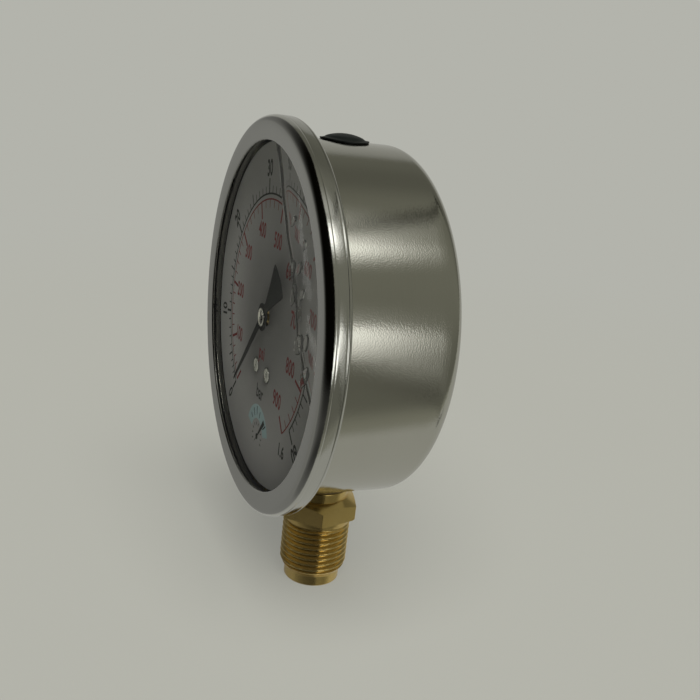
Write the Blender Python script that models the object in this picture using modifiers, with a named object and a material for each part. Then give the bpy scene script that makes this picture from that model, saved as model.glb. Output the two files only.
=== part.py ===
"""Liquid-filled pressure gauge, 100 mm nominal size, lower G 1/2 B connection.

Frame: the origin is the centre of the flat case back, on the pointer axis.
The dial faces -Y, +Z is up and the threaded stem points down (-Z).
Everything that is turned or stacked about the pointer axis is drawn in a
front frame: local X = world X, local Y = world Z and local Z = the height h
in front of the case back (world -Y).
"""
import math

import bpy
import bmesh
from mathutils import Matrix

# ---------------------------------------------------------------- dimensions
MM = 0.001

# case and bezel
CASE_R = 50.5          # outer radius of the steel cup
CASE_WALL = 0.8
CASE_CORNER = 4.5      # radius of the rear corner
CASE_FLANGE_R = 53.4   # turned-out rim that the bezel is crimped over
CASE_FRONT_H = 34.3    # front face of that rim
BEZEL_R = 55.65
BEZEL_OPENING_R = 48.7
BEZEL_REAR_H = 32.74
BEZEL_CREST_H = 39.45
WINDOW_R = 53.3
WINDOW_H = (35.4, 38.35)
GASKET_H = (34.45, 35.25)
GASKET_IN_R = 49.6

# filling plug
PLUG_H = 17.5
PLUG_FLANGE_R = 6.9
PLUG_STEM_R = 4.85
PLUG_HOLE_R = 5.1
PLUG_DOME = 2.0

# dial, pointer and movement stack (heights in front of the case back)
DIAL_R = 48.9
DIAL_H = (27.1, 28.1)
DIAL_BORE_R = 2.6
DIAL_SCREW_X = 5.0
DIAL_SCREW_Z = -15.8
BACK_PLATE_H = (19.4, 20.6)
FRONT_PLATE_H = (25.0, 26.0)
SECTOR_H = (22.4, 23.3)
PINION_H = (22.0, 23.6)
LINK_H = (21.2, 22.0)
SPRING_H = (24.0, 24.6)
POINTER_H = (32.6, 33.1)
POINTER_LEN = 35.0
POINTER_TAIL = 18.5
POINTER_ZERO = 228.5   # degrees from +X towards +Z, the direction of zero
POINTER_BOSS_R = 4.0

# gearing: ten leaves against a ninety-tooth sector
MODULE = 0.5
PINION_TEETH = 10
SECTOR_TEETH = 90
CENTRES = MODULE * (PINION_TEETH + SECTOR_TEETH) / 2
SECTOR_DIR = -70.35    # direction from the pinion to the sector pivot
SWEEP = 30.0           # sector turn for 270 degrees of pointer turn
TOOTH_W = 0.60         # tooth width on the pitch circle, leaves backlash

# linkage
TAIL_R = 5.7
LINK_DIR = 55.2        # direction in which the tube tip pulls
LINK_LEN = 13.0
TIP_SWING_R = 35.0

# Bourdon tube
TUBE_CENTRE = (0.0, 1.0)
TUBE_R = 31.0
TUBE_THICK = 4.0
TUBE_WIDE = 9.0
TUBE_WALL = 0.7
TUBE_START = -103.0
TUBE_TURN = 287.0
STEM_H = 13.3          # stem axis in front of the case back

# stem
SPIGOT_Z = -84.6
SPIGOT_TOP_Z = -81.3
SPIGOT_R = 8.75
THREAD_R = 10.478
THREAD_ROOT_R = 9.316
THREAD_PITCH = 1.814
THREAD_CRESTS = 9
FIRST_CREST_Z = -65.5
HEX_Z = (-62.5, -56.1)
HEX_AF = 22.0
HEX_TURN = -15.0       # direction of one hexagon corner
NECK_R = 8.9
NECK_TOP_Z = -53.1
STUB_R = 6.9
STUB_TOP_Z = -40.6
BORE_R = 3.0

SEG = 64               # facets round the case
SEG_S = 32             # facets round the stem
SEG_T = 16             # facets round small turned pieces

rad = math.radians


def polar(r, deg, centre=(0.0, 0.0)):
    return (centre[0] + r * math.cos(rad(deg)), centre[1] + r * math.sin(rad(deg)))


def add(p, q, k=1.0):
    return (p[0] + k * q[0], p[1] + k * q[1])


# derived positions, in (x, z)
SECTOR_P = polar(CENTRES, SECTOR_DIR)
PULL = polar(1.0, LINK_DIR)
OUT = polar(1.0, LINK_DIR - 90.0)
SAG = TAIL_R * (1 - math.cos(rad(SWEEP / 2)))
TAIL_S = polar(TAIL_R, LINK_DIR - 90.0 - SWEEP / 2, SECTOR_P)
LINK_EYE = add(TAIL_S, OUT, SAG / 2)
LINK_T = add(LINK_EYE, PULL, LINK_LEN)
TRAVEL = 2 * TAIL_R * math.sin(rad(SWEEP / 2))
TIP_SWING = 2 * math.degrees(math.asin(TRAVEL / 2 / TIP_SWING_R))
TUBE_V = add(add(LINK_T, OUT, -TIP_SWING_R * math.cos(rad(TIP_SWING / 2))), PULL, TRAVEL / 2)

# ------------------------------------------------------------------- helpers
for old in list(bpy.data.objects):
    bpy.data.objects.remove(old, do_unlink=True)

PARTS = bpy.data.collections.new("pressure_gauge")
CUTTERS = bpy.data.collections.new("cutters")
bpy.context.scene.collection.children.link(PARTS)
bpy.context.scene.collection.children.link(CUTTERS)


def empty(name, parent=None, loc=(0, 0, 0), rot=(0, 0, 0)):
    ob = bpy.data.objects.new(name, None)
    ob.empty_display_size = 0.01
    ob.location = [v * MM for v in loc]
    ob.rotation_euler = rot
    ob.parent = parent
    PARTS.objects.link(ob)
    return ob


FRONT = empty("front_frame", rot=(math.pi / 2, 0, 0))
STEM = empty("stem_axis", loc=(0, -STEM_H, 0))
POINTER_AXIS = empty("pointer_axis", FRONT)
SECTOR_AXIS = empty("sector_axis", FRONT, (*SECTOR_P, 0))
TUBE_AXIS = empty("tube_axis", FRONT, (*TUBE_V, 0))
LINK_AXIS = empty("link_axis", FRONT, (*LINK_T, 0))
PLUG_AXIS = empty("plug_axis", loc=(0, -PLUG_H, 0))


def material(name, colour, rough, metal, alpha=1.0):
    mat = bpy.data.materials.new(name)
    mat.use_nodes = True
    bsdf = mat.node_tree.nodes["Principled BSDF"]
    bsdf.inputs["Base Color"].default_value = (*colour, 1.0)
    bsdf.inputs["Roughness"].default_value = rough
    bsdf.inputs["Metallic"].default_value = metal
    bsdf.inputs["Alpha"].default_value = alpha
    mat.diffuse_color = (*colour, alpha)
    return mat


STEEL = dict(colour=(0.55, 0.55, 0.52), rough=0.30, metal=1.0)
BRIGHT = dict(colour=(0.62, 0.62, 0.60), rough=0.12, metal=1.0)
BRASS = dict(colour=(0.62, 0.48, 0.20), rough=0.25, metal=1.0)
DARK_BRASS = dict(colour=(0.50, 0.38, 0.17), rough=0.35, metal=1.0)
BLACK_RUBBER = dict(colour=(0.02, 0.025, 0.022), rough=0.7, metal=0.0)
BLACK_PAINT = dict(colour=(0.015, 0.015, 0.015), rough=0.45, metal=0.0)
WHITE_PAINT = dict(colour=(0.80, 0.80, 0.77), rough=0.5, metal=0.0)
BRONZE = dict(colour=(0.55, 0.36, 0.18), rough=0.3, metal=1.0)


def place(ob, name, look, parent, loc=(0, 0, 0), rot=(0, 0, 0)):
    """Name the object, give it its own material and its place under a parent."""
    ob.name = name
    ob.parent = parent
    ob.location = [v * MM for v in loc]
    ob.rotation_euler = rot
    if look is None:
        ob.hide_render = True
        ob.display_type = "WIRE"
        CUTTERS.objects.link(ob)
    else:
        ob.data.materials.append(material(name + "_material", **look))
        PARTS.objects.link(ob)
    return ob


def mesh_object(name, bm, look, parent, loc=(0, 0, 0), rot=(0, 0, 0)):
    mesh = bpy.data.meshes.new(name)
    bm.to_mesh(mesh)
    bm.free()
    return place(bpy.data.objects.new(name, mesh), name, look, parent, loc, rot)


def cylinder(name, r, z0, z1, look=None, parent=None, xy=(0, 0), seg=SEG_T, r2=None,
             rot=(0, 0, 0), turn=0.0):
    bm = bmesh.new()
    bmesh.ops.create_cone(bm, cap_ends=True, segments=seg, radius1=r * MM,
                          radius2=(r if r2 is None else r2) * MM, depth=abs(z1 - z0) * MM,
                          matrix=Matrix.Translation((0, 0, (z0 + z1) / 2 * MM))
                          @ Matrix.Rotation(rad(turn), 4, "Z"))
    return mesh_object(name, bm, look, parent, (*xy, 0), rot)


def box(name, lo, hi, look=None, parent=None, loc=(0, 0, 0), rot=(0, 0, 0)):
    size = [(b - a) * MM for a, b in zip(lo, hi)]
    mid = [(a + b) / 2 * MM for a, b in zip(lo, hi)]
    bm = bmesh.new()
    bmesh.ops.create_cube(bm, size=1.0,
                          matrix=Matrix.Translation(mid) @ Matrix.Diagonal((*size, 1.0)))
    return mesh_object(name, bm, look, parent, loc, rot)


def turned(name, profile, look=None, parent=None, closed=False, seg=SEG, angle=360.0,
           loc=(0, 0, 0), rot=(0, 0, 0)):
    """A turned piece: profile points (r, z) run down the outer side."""
    bm = bmesh.new()
    verts = [bm.verts.new((r * MM, 0.0, z * MM)) for r, z in profile]
    pairs = list(zip(verts, verts[1:]))
    if closed:
        pairs.append((verts[-1], verts[0]))
    for a, b in pairs:
        bm.edges.new((a, b))
    ob = mesh_object(name, bm, look, parent, loc, rot)
    mod = ob.modifiers.new("turn", "SCREW")
    mod.axis = "Z"
    mod.angle = rad(angle)
    mod.steps = mod.render_steps = seg
    mod.use_merge_vertices = True
    mod.merge_threshold = 0.00001
    mod.use_smooth_shade = True
    return ob


def outline(name, loops, z0, z1, look=None, parent=None, loc=(0, 0, 0), rot=(0, 0, 0)):
    """A flat plate from z0 to z1: the first loop is its edge, the others holes."""
    cu = bpy.data.curves.new(name, "CURVE")
    cu.dimensions = "2D"
    cu.fill_mode = "BOTH"
    cu.extrude = (z1 - z0) / 2 * MM
    for loop in loops:
        sp = cu.splines.new("POLY")
        sp.points.add(len(loop) - 1)
        for p, (x, y) in zip(sp.points, loop):
            p.co = (x * MM, y * MM, 0.0, 1.0)
        sp.use_cyclic_u = True
    place_at = (loc[0], loc[1], loc[2] + (z0 + z1) / 2)
    return place(bpy.data.objects.new(name, cu), name, look, parent, place_at, rot)


def as_mesh(ob):
    """The same object as a welded mesh, ready for Boolean modifiers."""
    bpy.context.view_layer.update()
    graph = bpy.context.evaluated_depsgraph_get()
    mesh = bpy.data.meshes.new_from_object(ob.evaluated_get(graph))
    bm = bmesh.new()
    bm.from_mesh(mesh)
    bmesh.ops.remove_doubles(bm, verts=bm.verts, dist=1e-7)
    bmesh.ops.recalc_face_normals(bm, faces=bm.faces)
    bm.to_mesh(mesh)
    bm.free()
    new = bpy.data.objects.new(ob.name, mesh)
    new.parent, new.location, new.rotation_euler = ob.parent, ob.location, ob.rotation_euler
    new.hide_render, new.display_type = ob.hide_render, ob.display_type
    for coll in ob.users_collection:
        coll.objects.link(new)
    name = ob.name
    bpy.data.objects.remove(ob, do_unlink=True)
    new.name = name
    return new


def boolean(ob, tool, operation="DIFFERENCE"):
    mod = ob.modifiers.new(operation.lower(), "BOOLEAN")
    mod.operation = operation
    mod.solver = "EXACT"
    mod.object = tool
    return ob


def circle(r, centre=(0, 0), n=SEG_T, start=0.0):
    return [polar(r, start + 360.0 * i / n, centre) for i in range(n)]


def arc(centre, r, a0, a1, n):
    return [polar(r, a0 + (a1 - a0) * i / n, centre) for i in range(n + 1)]


def rounded_rect(x0, z0, x1, z1, r, n=4):
    pts = []
    for cx, cz, a in ((x1 - r, z1 - r, 0), (x0 + r, z1 - r, 90),
                      (x0 + r, z0 + r, 180), (x1 - r, z0 + r, 270)):
        pts += arc((cx, cz), r, a, a + 90, n)
    return pts


# -------------------------------------------------------------- case and seal
def corner(r_in, base, radius, n=4):
    """Rear corner of the cup from the side down to the back."""
    return [(r_in + radius * math.cos(rad(90.0 * i / n)),
             base + radius - radius * math.sin(rad(90.0 * i / n))) for i in range(n + 1)]


inner = CASE_R - CASE_WALL
case_profile = [(0.0, CASE_WALL)]
case_profile += list(reversed(corner(CASE_R - CASE_CORNER, CASE_WALL, CASE_CORNER - CASE_WALL)))
case_profile += [(inner, CASE_FRONT_H), (CASE_FLANGE_R, CASE_FRONT_H), (CASE_FLANGE_R, 33.5),
                 (CASE_R + 0.3, 33.42), (CASE_R, 33.1)]
case_profile += corner(CASE_R - CASE_CORNER, 0.0, CASE_CORNER)
case_profile += [(0.0, 0.0)]
case = turned("case", case_profile, STEEL, FRONT)
boolean(case, cylinder("stem_hole", STUB_R + 0.15, -60, -40, parent=STEM, seg=SEG_S))
boolean(case, cylinder("plug_hole", PLUG_HOLE_R, 40, 60, parent=PLUG_AXIS, seg=24))

bezel_profile = [
    (BEZEL_OPENING_R, 38.9), (50.2, 39.3), (51.9, BEZEL_CREST_H), (53.6, 39.3), (55.2, 38.85),
    (BEZEL_R, 38.5), (BEZEL_R, 37.85), (55.4, 37.6), (BEZEL_R, 37.35),
    (BEZEL_R, 34.4), (55.4, 34.15), (BEZEL_R, 33.9), (55.3, 33.1),
    (54.4, BEZEL_REAR_H), (50.95, BEZEL_REAR_H), (50.95, 33.15), (53.75, 33.15), (53.75, 38.45),
    (BEZEL_OPENING_R, 38.45)]
turned("bezel_ring", bezel_profile, BRIGHT, FRONT, closed=True)

turned("window", [(0, WINDOW_H[1]), (WINDOW_R, WINDOW_H[1]), (WINDOW_R, WINDOW_H[0]),
                  (0, WINDOW_H[0])],
       dict(colour=(0.9, 0.95, 0.93), rough=0.03, metal=0.0, alpha=0.35), FRONT)
turned("window_gasket", [(GASKET_IN_R, GASKET_H[1]), (WINDOW_R, GASKET_H[1]),
                         (WINDOW_R, GASKET_H[0]), (GASKET_IN_R, GASKET_H[0])],
       BLACK_RUBBER, FRONT, closed=True)

# ---------------------------------------------------------------- filling plug
dome_r = (PLUG_FLANGE_R ** 2 + PLUG_DOME ** 2) / (2 * PLUG_DOME)
dome = [(0.0, CASE_R + PLUG_DOME)]
for i in range(1, 6):
    r = (PLUG_FLANGE_R - 0.25) * i / 5
    dome.append((r, CASE_R + PLUG_DOME - dome_r + math.sqrt(dome_r ** 2 - r ** 2) + 0.05))
dome += [(PLUG_FLANGE_R, CASE_R - 0.1), (PLUG_FLANGE_R, CASE_R - 1.0), (0.0, CASE_R - 1.0)]
plug = turned("fill_plug", dome, BLACK_RUBBER, PLUG_AXIS, seg=32)
boolean(plug, cylinder("plug_seat", CASE_R + 0.06, 0, 34.6, parent=FRONT, seg=SEG * 2))
boolean(plug, turned("plug_stem", [(0, CASE_R + 1.0), (PLUG_STEM_R, CASE_R + 1.0),
                                   (PLUG_STEM_R, 46.2), (PLUG_STEM_R - 0.7, 45.4), (0, 45.4)],
                     None, PLUG_AXIS, seg=24), "UNION")

# ------------------------------------------------------------------------ stem
stem_profile = [(0.0, STUB_TOP_Z), (STUB_R - 0.5, STUB_TOP_Z), (STUB_R, STUB_TOP_Z - 0.5),
                (STUB_R, NECK_TOP_Z + 0.15), (NECK_R - 0.3, NECK_TOP_Z + 0.05),
                (NECK_R, NECK_TOP_Z - 0.3), (NECK_R, HEX_Z[1] - 0.2), (THREAD_R - 0.25, -57.5),
                (THREAD_R - 0.25, -64.1)]
for k in range(THREAD_CRESTS):
    z = FIRST_CREST_Z - THREAD_PITCH * k
    r = THREAD_R - (0.0, 0.22, 0.85)[max(0, k - THREAD_CRESTS + 3)]
    stem_profile += [(THREAD_ROOT_R, z + THREAD_PITCH / 2), (r, z + 0.16), (r, z - 0.16)]
stem_profile += [(SPIGOT_R, SPIGOT_TOP_Z + 0.35), (SPIGOT_R, SPIGOT_Z + 0.4),
                 (SPIGOT_R - 0.4, SPIGOT_Z), (0.0, SPIGOT_Z)]
stem = turned("stem", stem_profile, BRASS, STEM, seg=SEG_S)
hex_blank = cylinder("hex_blank", HEX_AF / math.sqrt(3), HEX_Z[0], HEX_Z[1] + 2, parent=STEM,
                     seg=6, turn=HEX_TURN - 90.0)  # a cone's first corner is on +Y
boolean(hex_blank, turned("hex_chamfer",
                          [(0, HEX_Z[1]), (NECK_R + 0.1, HEX_Z[1]), (12.9, HEX_Z[1] - 2.0),
                           (12.9, HEX_Z[0] + 0.2), (12.5, HEX_Z[0] - 0.05),
                           (0, HEX_Z[0] - 0.05)],
                          None, STEM, seg=72), "INTERSECT")
boolean(stem, hex_blank, "UNION")
boolean(stem, cylinder("stem_bore", BORE_R, -90, -30, parent=STEM, seg=20))

gasket = turned("stem_gasket", [(STUB_R + 0.2, -49.0), (9.3, -49.0), (9.3, NECK_TOP_Z + 0.25),
                                (STUB_R + 0.2, NECK_TOP_Z + 0.25)],
                dict(colour=(0.20, 0.16, 0.09), rough=0.6, metal=0.0), STEM, closed=True, seg=SEG_S)
boolean(gasket, cylinder("gasket_seat", CASE_R + 0.1, 0, 34, parent=FRONT, seg=SEG * 2))
turned("restrictor_screw", [(0.45, -70.0), (BORE_R - 0.1, -70.0), (BORE_R - 0.1, -74.5),
                            (0.45, -74.5)], BRASS, STEM, closed=True, seg=SEG_T)

# ----------------------------------------------------------------- tube holder
holder = box("tube_holder", (-9, -38.3, 7.4), (9, -17, 19.2), DARK_BRASS, FRONT)
foot = cylinder("holder_foot", 9.2, -52, -38, parent=STEM, seg=SEG_S)
boolean(foot, cylinder("case_inside", inner - 0.3, -5, 40, parent=FRONT, seg=SEG * 2), "INTERSECT")
boolean(holder, foot, "UNION")
boolean(holder, cylinder("holder_socket", STUB_R + 0.12, -55, STUB_TOP_Z + 0.3, parent=STEM, seg=SEG_S))
boolean(holder, cylinder("holder_channel", 1.6, -42, -28.3, parent=STEM, seg=12))
boolean(holder, cylinder("holder_cross", 1.5, -6.5, 0.6, parent=FRONT,
                         xy=(0, 0), seg=12, rot=(0, math.pi / 2, 0)))
bpy.data.objects["holder_cross"].location = (0, -29.0 * MM, STEM_H * MM)
boolean(holder, box("tube_pocket", (-9.6, -31.9, STEM_H - 4.8), (-5.6, -26.2, STEM_H + 4.8),
                    parent=FRONT))
MOVEMENT_SCREWS = ((-5.0, -20.5), (-1.5, -34.0))
for i, at in enumerate(MOVEMENT_SCREWS, 1):
    boolean(holder, cylinder("movement_hole_%d" % i, 1.32, 15.9, 19.8, parent=FRONT, xy=at, seg=12))

# ---------------------------------------------------------------- Bourdon tube
n = 12
half_w, half_t = TUBE_WIDE / 2, TUBE_THICK / 2
oval = []
for i in range(n):
    a = 2 * math.pi * i / n
    c, s = math.cos(a), math.sin(a)
    oval.append((TUBE_R + half_t * math.copysign(abs(c) ** 0.8, c),
                 half_w * math.copysign(abs(s) ** 0.8, s)))
oval.reverse()
tube = turned("bourdon_tube", oval, BRONZE, FRONT, closed=True, seg=36, angle=TUBE_TURN,
              loc=(*TUBE_CENTRE, STEM_H), rot=(0, 0, rad(TUBE_START - TUBE_TURN)))
wall = tube.modifiers.new("wall", "SOLIDIFY")
wall.thickness = TUBE_WALL * MM
wall.offset = -1.0

END_A = TUBE_START - TUBE_TURN
END = polar(TUBE_R, END_A, TUBE_CENTRE)
ALONG = polar(1.0, END_A - 90.0)


def local(p, origin):
    return (p[0] - origin[0], p[1] - origin[1])


def capsule(p, q, r, m=8):
    a = math.degrees(math.atan2(q[1] - p[1], q[0] - p[0]))
    return arc(q, r, a - 90, a + 90, m) + arc(p, r, a + 90, a + 270, m)


tip_mid = local(add(END, ALONG, 2.35), TUBE_V)
tip = box("tube_tip", (-2.2, -3.0, STEM_H - 5.3), (2.2, 3.0, STEM_H + 5.3), DARK_BRASS, TUBE_AXIS,
          (*tip_mid, 0), (0, 0, rad(END_A - 90.0)))
lug = as_mesh(outline("tip_lug", [capsule(local(add(END, ALONG, 2.8), TUBE_V),
                                          local(LINK_T, TUBE_V), 2.4)],
                      17.2, 20.7, None, TUBE_AXIS))
boolean(tip, lug, "UNION")
boolean(tip, cylinder("tip_hole", 0.98, 17.6, 21.5, parent=TUBE_AXIS, xy=local(LINK_T, TUBE_V)))


def screw(name, at, parent, r, r_head, bottom, seat, top, look=BRIGHT, slot=45.0):
    """Slotted cheese-head screw along the local Z axis."""
    ob = turned(name, [(0, top), (r_head - 0.2, top), (r_head, top - 0.2), (r_head, seat),
                       (r, seat), (r, bottom), (0, bottom)],
                look, parent, seg=SEG_T, loc=(*at, 0))
    if slot is not None:
        deep = 0.45 * (top - seat)
        boolean(ob, box(name + "_slot", (-r_head - 1, -0.28, top - deep), (r_head + 1, 0.28, top + 1),
                        None, parent, (*at, 0), (0, 0, rad(slot))))
    return ob


# --------------------------------------------------------------------- linkage
# the tip screw is the link's pivot and stays with the tube tip
screw("tip_screw", local(LINK_T, TUBE_V), TUBE_AXIS, 0.9, 1.7, 18.0, LINK_H[1] + 0.1, LINK_H[1] + 1.0,
      slot=20.0)
eye = local(LINK_EYE, LINK_T)
outline("link", [capsule(eye, (0, 0), 2.1), circle(0.97, (0, 0), 16), circle(1.25, eye, 16)],
        LINK_H[0], LINK_H[1], BRASS, LINK_AXIS)
# the tail screw stays with the sector and runs free in the link's larger eye
screw("tail_screw", local(TAIL_S, SECTOR_P), SECTOR_AXIS, 0.9, 1.6, 21.0, SECTOR_H[1] + 0.08, 24.2,
      slot=70.0)


# ---------------------------------------------------------------------- gears
def tooth_flank(pitch_r, root_r, tip_r, width, pressure=20.0, steps=3):
    """Half angles of an involute tooth from root to tip, as (radius, degrees)."""
    base_r = pitch_r * math.cos(rad(pressure))

    def inv(r):
        if r <= base_r:
            return 0.0
        a = math.acos(base_r / r)
        return math.tan(a) - a
    half = width / 2 / pitch_r
    low = max(base_r, root_r)
    radii = [root_r] if root_r < base_r else []
    radii += [low + (tip_r - low) * i / steps for i in range(steps + 1)]
    return [(r, math.degrees(half + inv(pitch_r) - inv(r))) for r in radii]


def teeth(pitch_r, root_r, tip_r, width, centres_deg):
    pts = []
    flank = tooth_flank(pitch_r, root_r, tip_r, width)
    for c in centres_deg:
        pts += [polar(r, c - a) for r, a in flank]
        pts += [polar(r, c + a) for r, a in reversed(flank)]
    return pts


pin_r = MODULE * PINION_TEETH / 2
sec_r = MODULE * SECTOR_TEETH / 2
# a tooth gap of the pinion faces the sector pivot at rest, and a sector tooth fills it
pin_step = 360.0 / PINION_TEETH
pinion_outline = teeth(pin_r, pin_r - 0.58, pin_r + 0.42, TOOTH_W,
                       [SECTOR_DIR + pin_step * (i + 0.5) for i in range(PINION_TEETH)])
pinion = turned("pinion_arbor",
                [(0, 34.55), (0.45, 34.55), (0.55, 34.4), (0.6, 31.3), (1.0, 31.0), (1.0, 24.85),
                 (1.2, 24.8), (1.2, 21.0), (0.6, 20.9), (0.6, 19.6), (0, 19.6)],
                BRIGHT, POINTER_AXIS, seg=SEG_T)
boolean(pinion, as_mesh(outline("pinion_leaves", [pinion_outline], PINION_H[0], PINION_H[1],
                                None, POINTER_AXIS)), "UNION")

step = 360.0 / SECTOR_TEETH
mesh_dir = SECTOR_DIR + 180.0
first = int(math.ceil((SWEEP + 4.0) / step))
sector_teeth = teeth(sec_r, sec_r - 0.60, sec_r + 0.40, TOOTH_W,
                     [mesh_dir + step * i for i in range(-first, 2)])
a_lo = mesh_dir - step * (first + 0.5)
a_hi = mesh_dir + step * 1.5
tail_at = local(TAIL_S, SECTOR_P)
tail_dir = LINK_DIR - 90.0 - SWEEP / 2
rim_in = sec_r - 2.8
blank = [polar(sec_r - 0.6, a_lo)] + sector_teeth + [polar(sec_r - 0.6, a_hi), polar(rim_in, a_hi)]
arm = (a_lo + a_hi) / 2
blank += [polar(rim_in, arm + 7.0), polar(3.4, arm + 46.0)]
blank += arc((0, 0), 3.3, arm + 70, tail_dir + 360 - 60, 5)
blank += arc(tail_at, 2.0, tail_dir - 90 + 360, tail_dir + 90 + 360, 7)
blank += arc((0, 0), 3.3, tail_dir + 60 + 360, arm + 360 - 70, 5)
blank += [polar(3.4, arm - 46.0 + 360), polar(rim_in, arm - 7.0), polar(rim_in, a_lo)]
outline("sector_gear", [blank, circle(1.23, (0, 0), 16), circle(0.97, tail_at, 16)],
        SECTOR_H[0], SECTOR_H[1], BRASS, SECTOR_AXIS)
turned("sector_arbor", [(0, 25.8), (0.7, 25.8), (0.7, 24.8), (1.2, 24.75), (1.2, 22.35), (1.9, 22.3),
                        (1.9, 21.0), (0.7, 20.9), (0.7, 19.6), (0, 19.6)],
       BRIGHT, SECTOR_AXIS, seg=SEG_T)

# ------------------------------------------------------------------ hairspring
SPRING_TURNS, SPRING_IN, SPRING_OUT, SPRING_T = 4.6, 2.6, 7.2, 0.22
SPRING_END = 205.0
turned("hairspring_collet", [(1.26, 24.7), (2.3, 24.7), (2.3, 23.9), (1.26, 23.9)],
       BRASS, POINTER_AXIS, closed=True, seg=SEG_T)
m = 92
side_a, side_b = [], []
for i in range(m + 1):
    t = i / m
    r = SPRING_IN + (SPRING_OUT - SPRING_IN) * t
    a = SPRING_END - 360.0 * SPRING_TURNS * (1 - t)
    side_a.append(polar(r + SPRING_T / 2, a))
    side_b.append(polar(r - SPRING_T / 2, a))
outline("hairspring", [side_a + list(reversed(side_b))], SPRING_H[0], SPRING_H[1], BRONZE, FRONT)
cylinder("hairspring_stud", 0.8, 23.75, 24.95, BRASS, FRONT, polar(SPRING_OUT + 1.02, SPRING_END - 4))

# ------------------------------------------------------------- movement plates
PILLARS = ((-8.0, 5.5), (8.5, 5.5), (-7.5, -27.5), (3.5, -31.0))
plate = rounded_rect(-10.5, -36.6, 11.6, 9.0, 2.5)
back_holes = [circle(0.66), circle(0.76, SECTOR_P)]
back_holes += [circle(1.4, at, 12) for at in MOVEMENT_SCREWS]
outline("movement_back_plate", [plate] + back_holes, BACK_PLATE_H[0], BACK_PLATE_H[1], BRASS, FRONT)
front_edge = rounded_rect(-10.5, -34.6, 11.6, 9.0, 2.5)
front_holes = [circle(1.06), circle(0.76, SECTOR_P)]
front_holes += [circle(0.9, at, 12) for at in PILLARS]
front_holes += [circle(1.27, (s * DIAL_SCREW_X, DIAL_SCREW_Z), 12) for s in (-1, 1)]
outline("movement_front_plate", [front_edge] + front_holes, FRONT_PLATE_H[0], FRONT_PLATE_H[1],
        BRASS, FRONT)
for i, at in enumerate(PILLARS, 1):
    turned("pillar_%d" % i, [(0.86, 24.93), (1.7, 24.93), (1.7, 20.67), (0.86, 20.67)],
           BRASS, FRONT, closed=True, seg=12, loc=(*at, 0))
    screw("plate_screw_%d" % i, at, FRONT, 0.78, 1.6, 22.2, 26.05, 26.8, slot=30.0 * i)
for i, at in enumerate(MOVEMENT_SCREWS, 1):
    screw("movement_screw_%d" % i, at, FRONT, 1.25, 2.3, 16.1, 20.66, 21.9, slot=25.0 + 50 * i)

# ------------------------------------------------------------ dial and pointer
dial_holes = [circle(DIAL_BORE_R, n=20)]
dial_holes += [circle(1.35, (s * DIAL_SCREW_X, DIAL_SCREW_Z), 12) for s in (-1, 1)]
outline("dial", [circle(DIAL_R, n=SEG)] + dial_holes, DIAL_H[0], DIAL_H[1], WHITE_PAINT, FRONT)
for i, s in enumerate((-1, 1), 1):
    at = (s * DIAL_SCREW_X, DIAL_SCREW_Z)
    turned("dial_spacer_%d" % i, [(1.35, 27.05), (2.4, 27.05), (2.4, 26.05), (1.35, 26.05)],
           BRASS, FRONT, closed=True, seg=SEG_T, loc=(*at, 0))
    screw("dial_screw_%d" % i, at, FRONT, 1.2, 2.3, 25.1, 28.16, 29.2, slot=58.0)

z0 = POINTER_ZERO


def blade(r, side):
    p = polar(r, z0)
    return add(p, polar(1.0, z0 + 90), side)


pointer_edge = [blade(POINTER_LEN, 0.0), blade(POINTER_LEN - 1.6, 0.55), blade(3.8, 1.25)]
pointer_edge += arc((0, 0), POINTER_BOSS_R, z0 + 22, z0 + 150, 8)
pointer_edge += [blade(-4.6, 1.5), blade(-17.3, 5.7)]
pointer_edge += [polar(POINTER_TAIL, z0 + 180 - d) for d in (15.5, 8, 0, -8, -15.5)]
pointer_edge += [blade(-17.3, -5.7), blade(-4.6, -1.5)]
pointer_edge += arc((0, 0), POINTER_BOSS_R, z0 + 210, z0 + 338, 8)
pointer_edge += [blade(3.8, -1.25), blade(POINTER_LEN - 1.6, -0.55)]
outline("pointer", [pointer_edge, circle(1.78, n=20)], POINTER_H[0], POINTER_H[1], BLACK_PAINT,
        POINTER_AXIS)
turned("pointer_bush",
       [(0.68, 34.55), (2.5, 34.55), (2.75, 34.3), (2.75, 33.16), (1.7, 33.16), (1.7, 32.54),
        (2.5, 32.54), (2.5, 31.7), (1.75, 31.6), (1.75, 29.4), (1.06, 29.4), (1.06, 31.45), (0.68, 31.6)],
       dict(colour=(0.66, 0.65, 0.60), rough=0.3, metal=1.0), POINTER_AXIS, closed=True, seg=20)
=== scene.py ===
"""Liquid-filled pressure gauge: detailed meshes, materials, studio and camera.

The dial faces -Y and the case back is at y = 0. The pointer turns about the Y axis through the
origin, the filling plug is on top (+Z) and the threaded stem points down. Sizes are in
millimetres and angles in degrees unless said; vertices are scaled to metres as they are made.
A "height" on the dial side is the distance in front of the case back.
"""

import math
from functools import cached_property

import bpy
import bmesh
import numpy as np
from mathutils import Matrix, Vector

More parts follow.
